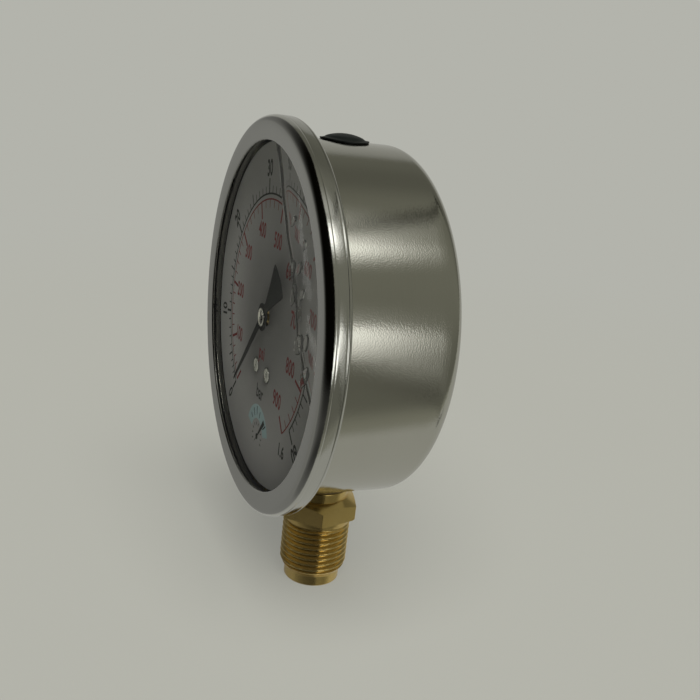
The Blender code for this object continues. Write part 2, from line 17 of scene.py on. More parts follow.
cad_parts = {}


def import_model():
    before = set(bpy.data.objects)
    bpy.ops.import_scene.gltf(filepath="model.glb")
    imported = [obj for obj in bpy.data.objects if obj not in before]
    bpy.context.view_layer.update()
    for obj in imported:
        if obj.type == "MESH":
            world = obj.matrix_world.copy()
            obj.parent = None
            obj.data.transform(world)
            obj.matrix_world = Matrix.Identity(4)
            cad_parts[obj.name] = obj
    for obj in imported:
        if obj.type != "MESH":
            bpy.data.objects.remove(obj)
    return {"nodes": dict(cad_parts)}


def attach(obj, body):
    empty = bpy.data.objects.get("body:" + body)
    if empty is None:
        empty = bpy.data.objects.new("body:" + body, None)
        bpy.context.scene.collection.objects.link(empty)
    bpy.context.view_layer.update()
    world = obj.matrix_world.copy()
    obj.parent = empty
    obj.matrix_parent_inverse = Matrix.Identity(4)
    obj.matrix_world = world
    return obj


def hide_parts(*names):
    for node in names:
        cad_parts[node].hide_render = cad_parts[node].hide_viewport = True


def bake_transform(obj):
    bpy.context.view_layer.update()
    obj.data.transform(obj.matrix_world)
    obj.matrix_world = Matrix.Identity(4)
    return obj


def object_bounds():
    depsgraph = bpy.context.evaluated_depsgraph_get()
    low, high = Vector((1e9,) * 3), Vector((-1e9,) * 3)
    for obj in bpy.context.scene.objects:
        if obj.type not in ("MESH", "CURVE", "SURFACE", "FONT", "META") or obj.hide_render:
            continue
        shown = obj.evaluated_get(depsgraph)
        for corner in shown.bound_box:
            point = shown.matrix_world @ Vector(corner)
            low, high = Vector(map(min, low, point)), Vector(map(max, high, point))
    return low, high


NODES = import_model()["nodes"]
CAD_LO, CAD_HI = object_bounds()
SCENE = bpy.context.scene

MM = 0.001
rad = math.radians

STEM_Y = -13.3          # upright axis of the stem
PLUG_Y = -17.5          # upright axis of the filling plug
CASE_R = 50.5
CASE_WALL = 0.8
CASE_CORNER = 4.5
SCREW_X, SCREW_Z = 5.0, -15.8   # dial screws, one on each side
SLOT_DEG = 58.0         # direction of every screwdriver slot
BACKDROP = (0.452, 0.455, 0.412)

# Free surface of the filling, in axes turned 35 degrees: u points to the bubble at the
# upper right of the dial, v runs along the free edge.
UP = (math.cos(rad(35.0)), math.sin(rad(35.0)))
EDGE_V = [-44.0, -33.9, -30.5, -25.5, -20.1, -15.6, -10.7, -4.5, 1.1, 6.7, 12.3, 19.4, 27.9,
          36.5, 44.0]
EDGE_U = [30.2, 29.6, 28.9, 28.2, 27.1, 26.5, 27.5, 28.6, 28.4, 28.5, 28.0, 28.1, 28.6,
          29.0, 29.4]


# ================================================================ mesh helpers
def link(ob):
    SCENE.collection.objects.link(ob)
    return ob


def facing(x=0.0, z=0.0):
    """Cylinder coordinates (radius, angle, height) about an axis that runs out of the dial."""
    return lambda radius, angle, height: (radius * math.cos(angle) + x, -height,
                                          radius * math.sin(angle) + z)


def upright(axis_y):
    """Cylinder coordinates (radius, angle, z) about a vertical axis at x = 0."""
    return lambda radius, angle, z: (radius * math.cos(angle),
                                     axis_y + radius * math.sin(angle), z)


def arc(x, y, radius, start, end, steps):
    angles = [rad(start + (end - start) * i / steps) for i in range(steps + 1)]
    return [(x + radius * math.cos(a), y + radius * math.sin(a)) for a in angles]


def spline(points, steps=3):
    """Catmull-Rom curve through the points."""
    p = [np.array(q, float) for q in points]
    p = [2 * p[0] - p[1]] + p + [2 * p[-1] - p[-2]]
    curve = []
    for i in range(1, len(p) - 2):
        for k in range(steps):
            t = k / steps
            curve.append(tuple(0.5 * (
                2 * p[i] + (p[i + 1] - p[i - 1]) * t
                + (2 * p[i - 1] - 5 * p[i] + 4 * p[i + 1] - p[i + 2]) * t * t
                + (3 * p[i] - p[i - 1] - 3 * p[i + 1] + p[i + 2]) * t ** 3)))
    curve.append(tuple(p[-2]))
    return curve


def add_verts(mesh, points):
    return [mesh.verts.new([v * MM for v in point]) for point in points]


def bridge(mesh, first, second):
    """Faces between two closed rings; a ring of one vertex makes a fan."""
    count = max(len(first), len(second))
    faces = []
    for i in range(count):
        j = (i + 1) % count
        if len(first) == 1:
            corners = (first[0], second[i], second[j])
        elif len(second) == 1:
            corners = (first[i], second[0], first[j])
        else:
            corners = (first[i], second[i], second[j], first[j])
        faces.append(mesh.faces.new(corners))
    return faces


def sweep(mesh, first, second):
    """Faces between two sections of a swept bar, each starting along the first section."""
    for i in range(len(first)):
        j = (i + 1) % len(first)
        mesh.faces.new((first[i], first[j], second[j], second[i]))


def shade(data, sharp):
    data.shade_smooth()
    data.set_sharp_from_angle(angle=rad(sharp))


def finish_mesh(name, mesh, sharp=35.0, normals=True):
    """Turns the working mesh into a linked object; edges above the sharp angle stay hard."""
    if normals:
        bmesh.ops.recalc_face_normals(mesh, faces=mesh.faces)
    data = bpy.data.meshes.new(name)
    mesh.to_mesh(data)
    mesh.free()
    shade(data, sharp)
    return link(bpy.data.objects.new(name, data))


def evaluated_mesh(ob):
    bpy.context.view_layer.update()
    graph = bpy.context.evaluated_depsgraph_get()
    return bpy.data.meshes.new_from_object(ob.evaluated_get(graph))


def flat_to_object(name, data, depth, weld, sharp=35.0):
    """Turns a mesh drawn in XY so that its Z looks out of the dial, centred at this depth."""
    data.transform(Matrix.Translation((0, -depth * MM, 0)) @ Matrix.Rotation(math.pi / 2, 4, "X"))
    mesh = bmesh.new()
    mesh.from_mesh(data)
    bpy.data.meshes.remove(data)
    bmesh.ops.remove_doubles(mesh, verts=mesh.verts, dist=weld)
    return finish_mesh(name, mesh, sharp)


def lathe(name, profile, where=facing(), segments=192, sharp=35.0):
    """Turns a profile of (radius, height). It closes on itself unless it starts on the axis."""
    mesh = bmesh.new()
    rings = []
    for radius, height in profile:
        angles = [2 * math.pi * i / segments for i in range(segments if radius else 1)]
        rings.append(add_verts(mesh, [where(radius, a, height) for a in angles]))
    pairs = list(zip(rings, rings[1:]))
    if len(rings[0]) > 1:
        pairs.append((rings[-1], rings[0]))
    for first, second in pairs:
        bridge(mesh, first, second)
    return finish_mesh(name, mesh, sharp)


def boolean(ob, tools, operation="DIFFERENCE", sharp=35.0):
    """Combines with the tools, removes them and leaves one plain mesh."""
    for tool in tools:
        modifier = ob.modifiers.new("cut", "BOOLEAN")
        modifier.operation = operation
        modifier.solver = "EXACT"
        modifier.object = tool
    data = evaluated_mesh(ob)
    ob.modifiers.clear()
    old = ob.data
    ob.data = data
    bpy.data.meshes.remove(old)
    for tool in tools:
        bpy.data.objects.remove(tool, do_unlink=True)
    shade(data, sharp)
    return ob


def prism(name, loop, bottom, top, bevel=0.0, sharp=35.0, holes=()):
    """A flat piece with loops in (x, z), between two heights."""
    curve = bpy.data.curves.new(name, "CURVE")
    curve.dimensions = "2D"
    curve.fill_mode = "BOTH"
    curve.extrude = ((top - bottom) / 2 - bevel) * MM
    if bevel:
        curve.bevel_depth = bevel * MM
        curve.bevel_resolution = 2
        curve.offset = -bevel * MM
    for outline in [loop] + list(holes):
        path = curve.splines.new("POLY")
        path.points.add(len(outline) - 1)
        for point, (x, y) in zip(path.points, outline):
            point.co = (x * MM, y * MM, 0.0, 1.0)
        path.use_cyclic_u = True
    ob = link(bpy.data.objects.new(name, curve))
    data = evaluated_mesh(ob)
    bpy.data.objects.remove(ob, do_unlink=True)
    return flat_to_object(name, data, (bottom + top) / 2, 2e-7, sharp)


def slot_cutter(x, z, length, width, bottom, top):
    """Box that cuts a screwdriver slot, between two heights."""
    mesh = bmesh.new()
    turn = Matrix.Translation((x * MM, 0, z * MM)) @ Matrix.Rotation(-rad(SLOT_DEG), 4, "Y")
    middle = Vector((0, -(bottom + top) / 2, 0)) * MM
    size = (length * MM, (top - bottom) * MM, width * MM, 1.0)
    bmesh.ops.create_cube(mesh, size=1.0, matrix=turn @ Matrix.Translation(middle)
                          @ Matrix.Diagonal(size))
    return finish_mesh("slot_cutter", mesh)


def join(name, obs):
    """One mesh from several objects, which are removed."""
    mesh = bmesh.new()
    for ob in obs:
        data = ob.data.copy()
        data.transform(ob.matrix_world)
        mesh.from_mesh(data)
        bpy.data.meshes.remove(data)
        bpy.data.objects.remove(ob, do_unlink=True)
    return finish_mesh(name, mesh, normals=False)


# ============================================================ material helpers
class Graph:
    """Short calls that build the node tree of one material or world."""

    def __init__(self, owner, output="ShaderNodeOutputMaterial", space="Object"):
        owner.use_nodes = True
        self.owner = owner
        self.output = output
        self.space = space
        self.tree = owner.node_tree
        self.tree.nodes.clear()

    @cached_property
    def place(self):
        return self.node("ShaderNodeTexCoord", out=self.space)

    def put(self, socket, value):
        """Links a socket, or sets a value; colours are given without alpha."""
        if isinstance(value, bpy.types.NodeSocket):
            self.tree.links.new(value, socket)
        elif socket.type == "RGBA":
            socket.default_value = (*value, 1.0)
        else:
            socket.default_value = value

    def node(self, kind, *inputs, out=0, props=None, **named):
        """Adds a node and returns one output; inputs go by position or by name."""
        node = self.tree.nodes.new(kind)
        for key, value in (props or {}).items():
            setattr(node, key, value)
        for i, value in enumerate(inputs):
            self.put(node.inputs[i], value)
        for key, value in named.items():
            self.put(node.inputs[key.replace("_", " ")], value)
        return node.outputs[out]

    def math(self, operation, first, second=0.0):
        return self.node("ShaderNodeMath", first, second, props={"operation": operation})

    def fold(self, operation, values):
        total = values[0]
        for value in values[1:]:
            total = self.math(operation, total, value)
        return total

    def add(self, *values):
        return self.fold("ADD", values)

    def mul(self, *values):
        return self.fold("MULTIPLY", values)

    def sub(self, first, second):
        return self.math("SUBTRACT", first, second)

    def off(self, value):
        return self.sub(1.0, value)

    def length(self, first, second):
        return self.math("SQRT", self.add(self.mul(first, first), self.mul(second, second)))

    def swing(self, noise, amount):
        """Noise moved to lie about zero, times the amount."""
        return self.mul(self.sub(noise, 0.5), amount)

    def split(self):
        node = self.tree.nodes.new("ShaderNodeSeparateXYZ")
        self.put(node.inputs[0], self.place)
        return node.outputs

    def vec(self, x, y, z):
        return self.node("ShaderNodeCombineXYZ", x, y, z)

    def vector_math(self, operation, *inputs, out=0):
        return self.node("ShaderNodeVectorMath", *inputs, out=out, props={"operation": operation})

    def noise(self, scale, detail, rough, vector=None, distortion=0.0):
        return self.node("ShaderNodeTexNoise", Vector=vector or self.place, Scale=scale,
                         Detail=detail, Roughness=rough, Distortion=distortion)

    def ramp(self, value, over, to=(0.0, 1.0), kind="LINEAR"):
        """Straight change between the ends of "to" while the value crosses "over"."""
        return self.node("ShaderNodeMapRange", value, *over, *to,
                         props={"interpolation_type": kind})

    def fade(self, value, over, to=(0.0, 1.0)):
        """Smooth change between the ends of "to" while the value crosses "over"."""
        return self.ramp(value, over, to, "SMOOTHSTEP")

    def lines(self, value, points):
        """Piecewise straight function through (value, result) points."""
        total = points[0][1]
        for (v0, r0), (v1, r1) in zip(points, points[1:]):
            total = self.add(total, self.ramp(value, (v0, v1), (0.0, r1 - r0)))
        return total

    def mix(self, factor, first, second, blend="MIX"):
        node = self.tree.nodes.new("ShaderNodeMix")
        node.data_type = "RGBA"
        node.blend_type = blend
        for i, value in ((0, factor), (6, first), (7, second)):
            self.put(node.inputs[i], value)
        return node.outputs[2]

    def mix_shader(self, factor, first, second):
        return self.node("ShaderNodeMixShader", factor, first, second)

    def bump(self, height, strength, distance):
        return self.node("ShaderNodeBump", Strength=strength, Distance=distance, Height=height)

    def principled(self, **inputs):
        return self.node("ShaderNodeBsdfPrincipled", **inputs)

    def transparent(self, colour):
        return self.node("ShaderNodeBsdfTransparent", Color=colour)

    def finish(self, shader):
        output = self.tree.nodes.new(self.output)
        self.tree.links.new(shader, output.inputs[0])
        return self.owner


def new_graph(name):
    return Graph(bpy.data.materials.new(name))


def metal(name, colour, dark, rough, lines, line_bump, speckle, grime,
          spread=0.05, smears=0.9, matt=0.0, stem=False):
    """Turned metal with fine lines round the dial axis, or round the stem axis.

    lines: how many lines; line_bump: their depth; speckle: fine grain; grime: dark clouds;
    spread: how much the roughness varies; smears: rougher marks; matt: non-metallic part, and
    above zero it also turns on painted shade on the -X side.
    """
    graph = new_graph(name)
    x, y, z = graph.split()
    if stem:
        across, along = graph.sub(y, STEM_Y * MM), z
    else:
        across, along = z, y
    radius = graph.length(x, across)
    cosine, sine = [graph.math("DIVIDE", v, graph.math("MAXIMUM", radius, 1e-5))
                    for v in (x, across)]

    def line_noise(round_scale, along_scale, detail):
        """Fast along the axis and the radius, slow round it."""
        travel = graph.add(along, graph.mul(radius, 0.73))
        vector = graph.vec(graph.mul(cosine, round_scale), graph.mul(sine, round_scale),
                           graph.mul(travel, along_scale))
        return graph.noise(vector=vector, scale=1.0, detail=detail, rough=0.6)

    fine = line_noise(round_scale=1.5, along_scale=lines, detail=2.0)
    broad = line_noise(round_scale=7.5, along_scale=lines * 0.22, detail=3.0)
    cloud = graph.noise(scale=38.0, detail=4.0, rough=0.55)
    grain = graph.noise(scale=2600.0, detail=2.0, rough=0.6)
    smear = graph.noise(vector=graph.vector_math("MULTIPLY", graph.place, (1.0, 1.0, 2.2)),
                        scale=120.0, detail=5.0, rough=0.65, distortion=0.4)

    darkness = graph.add(graph.mul(graph.fade(cloud, over=(0.35, 0.7)), grime),
                         graph.mul(graph.ramp(fine, over=(0.3, 0.7)), 0.16))
    shown = graph.mix(darkness, colour, dark)
    if matt:
        # painted shade on the -X side, blotched by the cloud noise; it takes more from green and
        # most from blue
        painted_side_shade = graph.fade(graph.add(cosine, graph.swing(cloud, 0.5)),
                          over=(-0.95, 0.15), to=(0.50, 1.0))
        painted_shade_tint = graph.vec(painted_side_shade, graph.math("POWER", painted_side_shade, 1.08), graph.math("POWER", painted_side_shade, 1.5))
        shown = graph.mix(1.0, shown, painted_shade_tint, "MULTIPLY")
    roughness = graph.add(rough, graph.swing(fine, spread), graph.swing(cloud, spread * 1.2),
                          graph.mul(graph.fade(smear, over=(0.56, 0.72)), spread * smears))
    # on strongly speckled metal the turned lines nearly vanish
    fine_depth, broad_depth = (0.10, 0.08) if speckle > 1 else (1.0, 0.6)
    height = graph.add(graph.add(graph.mul(fine, fine_depth), graph.mul(broad, broad_depth)),
                       graph.mul(grain, speckle))
    return graph.finish(graph.principled(
        Base_Color=shown, Metallic=1.0 - matt, Roughness=roughness,
        Normal=graph.bump(height, strength=line_bump, distance=0.00006)))


def rubber(name, colour, light, rough, scale=1500.0, strength=0.25):
    """Moulded rubber: a pitted skin of this scale and strength, bloom and pale dust."""
    graph = new_graph(name)
    pits = graph.noise(scale=scale, detail=4.0, rough=0.6)
    wave = graph.noise(scale=160.0, detail=3.0, rough=0.5)
    dust = graph.noise(scale=700.0, detail=5.0, rough=0.7)
    shown = graph.mix(graph.fade(wave, over=(0.4, 0.75), to=(0.0, 0.7)), colour, light)
    shown = graph.mix(graph.fade(dust, over=(0.62, 0.8), to=(0.0, 0.25)), shown,
                      [v * 2.4 for v in light])
    return graph.finish(graph.principled(
        Base_Color=shown, Roughness=graph.add(rough, graph.swing(wave, 0.25)),
        Normal=graph.bump(pits, strength=strength, distance=0.00004), Specular_IOR_Level=0.3))


def paint(name, colour, second, rough=0.40, bump=0.12):
    """Sprayed or printed paint: faint orange peel, cloudy colour and uneven gloss."""
    graph = new_graph(name)
    peel = graph.noise(scale=2200.0, detail=2.0, rough=0.5)
    cloud = graph.noise(scale=55.0, detail=3.0, rough=0.5)
    return graph.finish(graph.principled(
        Base_Color=graph.mix(graph.fade(cloud, over=(0.3, 0.7)), colour, second),
        Roughness=graph.add(rough, graph.swing(cloud, 0.12)),
        Normal=graph.bump(peel, strength=bump, distance=0.00003)))


def dial_enamel():
    """White enamel: faint mottling and specks, with painted shade that dims it when seen from the
    side.
    """
    graph = new_graph("dial_enamel_white")
    x, _, z = graph.split()
    peel = graph.noise(scale=2200.0, detail=2.0, rough=0.5)
    cloud = graph.noise(scale=55.0, detail=3.0, rough=0.5)
    dust = graph.noise(scale=3800.0, detail=2.0, rough=0.5)
    shown = graph.mix(graph.fade(cloud, over=(0.3, 0.7)), (0.845, 0.84, 0.84), (0.795, 0.79, 0.79))
    shown = graph.mix(graph.fade(dust, over=(0.72, 0.78), to=(0.0, 0.3)), shown,
                      (0.36, 0.36, 0.34))
    # how squarely the camera looks at the dial
    normal = graph.node("ShaderNodeVectorTransform",
                        graph.node("ShaderNodeNewGeometry", out="True Normal"),
                        props={"vector_type": "NORMAL", "convert_from": "WORLD",
                               "convert_to": "CAMERA"})
    ray = graph.vector_math("NORMALIZE", graph.node("ShaderNodeTexCoord", out="Camera"))
    square = graph.math("ABSOLUTE", graph.vector_math("DOT_PRODUCT", ray, normal, out="Value"))
    facing_weight = graph.node("ShaderNodeLayerWeight", out="Facing", Blend=0.5)
    # painted shade: full colour where the camera looks squarely at the dial or a ray meets it
    # head-on, darker from the side
    light = graph.math("MAXIMUM", graph.fade(square, over=(0.40, 0.60)),
                       graph.fade(facing_weight, over=(0.02, 0.10), to=(1.0, 0.0)))
    # painted shade for side views: lighter away from the centre and on the -X side, in metres from
    # the centre and from the middle plane
    side = graph.add(graph.fade(graph.length(x, z), over=(0.010, 0.036), to=(0.255, 0.43)),
                     graph.fade(x, over=(-0.030, -0.012), to=(0.04, 0.0)))
    light = graph.add(light, graph.mul(graph.off(light), side))
    return graph.finish(graph.principled(
        Base_Color=graph.mix(1.0, shown, graph.vec(light, light, light), "MULTIPLY"),
        Roughness=0.5, Normal=graph.bump(peel, strength=0.10, distance=0.00003),
        Specular_IOR_Level=0.05))


# ------------------------------------------------------------ glass and liquid
IOR = 1.475             # the same for glass and filling


def refracting(graph, wave, ripple, colour, reflection, gloss_rough=0.02):
    normal = graph.bump(wave, strength=ripple, distance=0.0004)
    refraction = graph.node("ShaderNodeBsdfRefraction", Color=colour, Roughness=0.0, IOR=IOR,
                            Normal=normal)
    gloss = graph.node("ShaderNodeBsdfGlossy", Color=(1, 1, 1), Roughness=gloss_rough,
                       Normal=normal)
    fresnel = graph.node("ShaderNodeFresnel", IOR=IOR, Normal=normal)
    return graph.mix_shader(graph.mul(fresnel, reflection), refraction, gloss)


def finish_clear(graph, body):
    """Lets shadow and diffuse rays straight through, so the dial stays evenly lit."""
    rays = graph.tree.nodes.new("ShaderNodeLightPath").outputs
    through = graph.math("MAXIMUM", rays["Is Shadow Ray"], rays["Is Diffuse Ray"])
    return graph.finish(graph.mix_shader(through, body, graph.transparent((0.955, 0.955, 0.95))))


GLASS_LOOK = {"ripple": 0.012, "colour": (0.985, 0.985, 0.98)}


def window_glass():
    graph = new_graph("window_glass")
    wave = graph.noise(scale=26.0, detail=3.0, rough=0.5)
    smear = graph.noise(vector=graph.vector_math("MULTIPLY", graph.place, (1.0, 1.0, 0.55)),
                        scale=65.0, detail=5.0, rough=0.62, distortion=0.6)
    dust = graph.noise(scale=2100.0, detail=2.0, rough=0.5)
    body = refracting(graph, wave, reflection=0.15, **GLASS_LOOK,
                      gloss_rough=graph.fade(smear, over=(0.45, 0.75), to=(0.015, 0.16)))
    haze = graph.node("ShaderNodeBsdfDiffuse", Color=(0.8, 0.8, 0.78))
    amount = graph.add(graph.fade(smear, over=(0.5, 0.8), to=(0.001, 0.010)),
                       graph.mul(graph.fade(dust, over=(0.7, 0.76)), 0.05))
    return finish_clear(graph, graph.mix_shader(amount, body, haze))


def window_glass_inner():
    """Back of the pane: no optical surface where the filling wets it."""
    graph = new_graph("window_glass_inner")
    x, _, z = graph.split()
    wave = graph.noise(scale=26.0, detail=3.0, rough=0.5)
    u = graph.add(graph.mul(x, UP[0]), graph.mul(z, UP[1]))
    v = graph.add(graph.mul(x, -UP[1]), graph.mul(z, UP[0]))
    # the free edge as a curve from 0 to 1 both ways; u runs from base to base + span
    base, span = 20.0, 20.0
    node = graph.tree.nodes.new("ShaderNodeFloatCurve")
    graph.put(node.inputs["Value"], graph.ramp(v, over=(EDGE_V[0] * MM, EDGE_V[-1] * MM)))
    points = node.mapping.curves[0].points
    for i, (edge_v, edge_u) in enumerate(zip(EDGE_V, EDGE_U)):
        place = ((edge_v - EDGE_V[0]) / (EDGE_V[-1] - EDGE_V[0]), (edge_u - base) / span)
        if i < 2:
            points[i].location = place
        else:
            points.new(*place)
    node.mapping.update()
    edge = graph.mul(graph.add(graph.mul(node.outputs[0], span), base), MM)
    dry = graph.math("GREATER_THAN", graph.add(u, graph.swing(wave, 0.0005)), edge)
    body = refracting(graph, wave, reflection=0.30, **GLASS_LOOK)
    return finish_clear(graph, graph.mix_shader(dry, graph.transparent((1, 1, 1)), body))


def filling_liquid():
    graph = new_graph("filling_liquid")
    wave = graph.noise(scale=210.0, detail=3.0, rough=0.5)
    return finish_clear(graph, refracting(graph, wave, ripple=0.10, colour=(0.97, 0.97, 0.96),
                                          reflection=0.30))


def filling_liquid_wetted():
    graph = new_graph("filling_liquid_wetted")
    return finish_clear(graph, graph.transparent((0.985, 0.985, 0.975)))


# ================================================================== materials
STEEL = metal("case_steel_satin", colour=(0.605, 0.60, 0.535), dark=(0.555, 0.55, 0.49),
              rough=0.085, lines=3000.0, line_bump=0.140, speckle=2.2, grime=0.30,
              spread=0.03, smears=0.25)
BEZEL = metal("bezel_steel_polished", colour=(0.62, 0.62, 0.575), dark=(0.56, 0.56, 0.52),
              rough=0.105, lines=3000.0, line_bump=0.100, speckle=2.2, grime=0.25,
              spread=0.03, smears=0.25)
# matt above zero also paints shade on the -X side of the stem
BRASS = metal("stem_brass_machined", colour=(0.80, 0.595, 0.225), dark=(0.64, 0.45, 0.14),
              rough=0.17, lines=7000.0, line_bump=0.07, speckle=0.35, grime=0.50,
              spread=0.07, matt=0.08, stem=True)
BRASS_IN = metal("movement_brass_lapped", colour=(0.70, 0.54, 0.24), dark=(0.56, 0.42, 0.17),
                 rough=0.27, lines=2600.0, line_bump=0.05, speckle=0.3, grime=0.35)
BRONZE = metal("tube_bronze_drawn", colour=(0.62, 0.40, 0.22), dark=(0.45, 0.27, 0.14),
               rough=0.25, lines=3000.0, line_bump=0.05, speckle=0.3, grime=0.5)
SCREW = metal("screw_steel_plated", colour=(0.60, 0.60, 0.57), dark=(0.42, 0.42, 0.38),
              rough=0.24, lines=6000.0, line_bump=0.06, speckle=0.4, grime=0.4)
BUSH = metal("bush_nickel", colour=(0.70, 0.69, 0.64), dark=(0.56, 0.55, 0.50),
             rough=0.26, lines=9000.0, line_bump=0.09, speckle=0.2, grime=0.2)
PLUG = rubber("plug_rubber_black", colour=(0.007, 0.009, 0.008), light=(0.016, 0.019, 0.018),
              rough=0.50, scale=1700.0, strength=0.18)
GASKET = rubber("gasket_rubber_black", colour=(0.012, 0.012, 0.012), light=(0.03, 0.03, 0.03),
                rough=0.6)
FIBRE = rubber("seal_fibre_brown", colour=(0.16, 0.115, 0.045), light=(0.24, 0.18, 0.08),
               rough=0.6, scale=900.0, strength=0.5)
DIAL = dial_enamel()
INK_BLACK = paint("scale_ink_black", (0.018, 0.019, 0.020), (0.035, 0.036, 0.037))
INK_RED = paint("scale_ink_red", (0.165, 0.024, 0.029), (0.205, 0.035, 0.038))
INK_TEAL = paint("emblem_ink_teal", (0.30, 0.42, 0.45), (0.35, 0.47, 0.50))
POINTER = paint("pointer_lacquer_black", (0.014, 0.015, 0.014), (0.024, 0.026, 0.024),
                rough=0.45, bump=0.15)
GLASS = window_glass()
GLASS_WET = window_glass_inner()
LIQUID = filling_liquid()
LIQUID_FACE = filling_liquid_wetted()


def register(ob, slot, *replaced, body="gauge"):
    """Puts the piece under the empty of its body and hides the CAD pieces it replaces; the slot is
    not used.
    """
    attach(ob, body)
    if replaced:
        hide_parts(*replaced)


def dress(ob, material, slot, *replaced, body="gauge"):
    ob.data.materials.clear()
    ob.data.materials.append(material)
    register(ob, slot, *replaced, body=body)


# ============================================================= case and bezel
# Profiles here and below are (radius, height).
def case_shell():
    """Steel cup with a rolled rim, open at the top for the plug and below for the stem."""
    corner = CASE_R - CASE_CORNER
    profile = [(0.0, 0.0), (20.0, 0.0), (36.0, 0.0)]
    profile += spline([(37.6, 0.0), (38.3, 0.10), (39.0, 0.22), (39.7, 0.10), (40.4, 0.0)])
    profile += [(43.0, 0.0)]
    profile += arc(corner, CASE_CORNER, CASE_CORNER, -90, 0, 14)
    profile += [(CASE_R, height) for height in (7.0, 14.0, 21.0, 28.0, 32.4)]
    profile += spline([(CASE_R, 33.0), (50.7, 33.32), (51.1, 33.45), (52.0, 33.5)])
    profile += [(53.2, 33.5), (53.4, 33.65), (53.4, 34.15), (53.25, 34.3), (50.2, 34.3)]
    profile += arc(50.2, 33.8, 0.5, 90, 180, 4)
    profile += [(CASE_R - CASE_WALL, height) for height in (28.0, 17.0, 6.0)]
    profile += arc(corner, CASE_CORNER, CASE_CORNER - CASE_WALL, 0, -90, 8)
    profile += [(30.0, CASE_WALL), (0.0, CASE_WALL)]
    case = lathe("case_shell", profile, segments=256)
    plug_hole = lathe("plug_hole", [(0, 57), (5.1, 57), (5.1, 44), (0, 44)],
                      upright(PLUG_Y), 64)
    stem_hole = lathe("stem_hole", [(0, -44), (7.05, -44), (7.05, -58), (0, -58)],
                      upright(STEM_Y), 64)
    boolean(case, [plug_hole, stem_hole], sharp=40)
    dress(case, STEEL, "case_steel", "case")


def bezel_ring():
    """Ring crimped round the case rim."""
    # inner lip and front face
    profile = [(48.7, 38.45), (48.7, 38.72)]
    profile += arc(49.12, 38.68, 0.42, 180, 96, 8)
    profile += spline([(49.25, 39.11), (49.9, 39.19), (50.8, 39.28), (51.8, 39.37),
                       (52.8, 39.425), (53.5, 39.43)])[:-1]
    # elliptical shoulder, then the skirt
    profile += [(53.6 + 1.98 * math.sin(rad(t)), 36.75 + 2.68 * math.cos(rad(t)))
                for t in range(2, 85, 4)]
    profile += spline([(55.575, 36.94), (55.555, 36.86), (55.525, 36.78), (55.515, 36.70),
                       (55.53, 36.60), (55.56, 36.40), (55.57, 36.1), (55.565, 35.6),
                       (55.55, 35.1), (55.53, 34.6), (55.50, 34.2)])
    # edge turned in behind the rim, and back up inside
    profile += spline([(55.48, 34.0), (55.52, 33.88), (55.52, 33.70), (55.43, 33.42),
                       (55.20, 33.12), (54.85, 32.90), (54.4, 32.78), (53.9, 32.745)])
    profile += [(52.6, 32.74), (51.15, 32.74), (50.95, 32.85), (50.95, 33.10), (51.1, 33.2),
                (53.6, 33.2), (53.75, 33.35), (53.75, 38.45)]
    bezel = lathe("bezel_crimped", profile, segments=288, sharp=50)
    dress(bezel, BEZEL, "bezel_steel", "bezel_ring")


def window_seal():
    profile = [(53.2, 35.25), (53.3, 35.1), (53.3, 34.6), (53.2, 34.45), (49.9, 34.45)]
    profile += arc(49.9, 34.85, 0.3, 270, 90, 6) + [(49.9, 35.25)]
    dress(lathe("window_seal", profile), GASKET, "rubber", "window_gasket")


case_shell()
bezel_ring()
window_seal()


# ========================================================= window and filling
def window_pane():
    profile = [(0, 38.35), (20, 38.35), (40, 38.35), (53.0, 38.35), (53.3, 38.05),
               (53.3, 35.7), (53.0, 35.4), (40, 35.4), (20, 35.4), (0, 35.4)]
    pane = lathe("window_pane", profile, sharp=30)
    pane.data.materials.append(GLASS)
    pane.data.materials.append(GLASS_WET)
    for face in pane.data.polygons:
        if face.normal.y > 0.9:
            face.material_index = 1
    register(pane, "window_glass", "window")


FILLING_R = 49.3
FILLING_LEVELS = [28.16, 28.5, 29.4, 30.8, 32.2, 33.6, 34.6, 35.15, 35.36]
FREE_POINTS = 90        # along the free edge
ROUND_STEPS = 150       # round the case wall


def smoothed_edge(v):
    """The free edge, averaged over its neighbourhood."""
    offsets = np.array([-2.4, -1.2, 0.0, 1.2, 2.4])
    weights = np.array([1, 4, 6, 4, 1]) / 16.0
    return float(sum(weight * float(np.interp(v + offset, EDGE_V, EDGE_U))
                     for weight, offset in zip(weights, offsets)))


def filling_outline(height):
    """Outline of the filling at one height: the free edge, then round the circle."""
    level = (height - 31.8) / 3.6       # -1 near the dial, 1 at the glass
    climb = 1.6 * abs(level) ** 5 - 0.5 * (1 - level * level)
    lean = -1.2 * level

    def u_at(v):
        return smoothed_edge(v) + climb + lean + 0.12 * math.sin(v * 0.5 + 0.5 * height)

    def meet_circle(side):
        """Where the free edge meets the circle, by repeated substitution."""
        v = side * 36
        for _ in range(9):
            v = side * math.sqrt(FILLING_R ** 2 - u_at(v) ** 2)
        return v

    low, high = meet_circle(-1), meet_circle(1)
    points = [(u_at(v), v) for v in np.linspace(low, high, FREE_POINTS)]
    start = math.atan2(high, u_at(high))
    end = math.atan2(low, u_at(low)) + 2 * math.pi
    for i in range(1, ROUND_STEPS):
        angle = start + (end - start) * i / ROUND_STEPS
        points.append((FILLING_R * math.cos(angle), FILLING_R * math.sin(angle)))
    return [(u * UP[0] - v * UP[1], -height, u * UP[1] + v * UP[0]) for u, v in points]


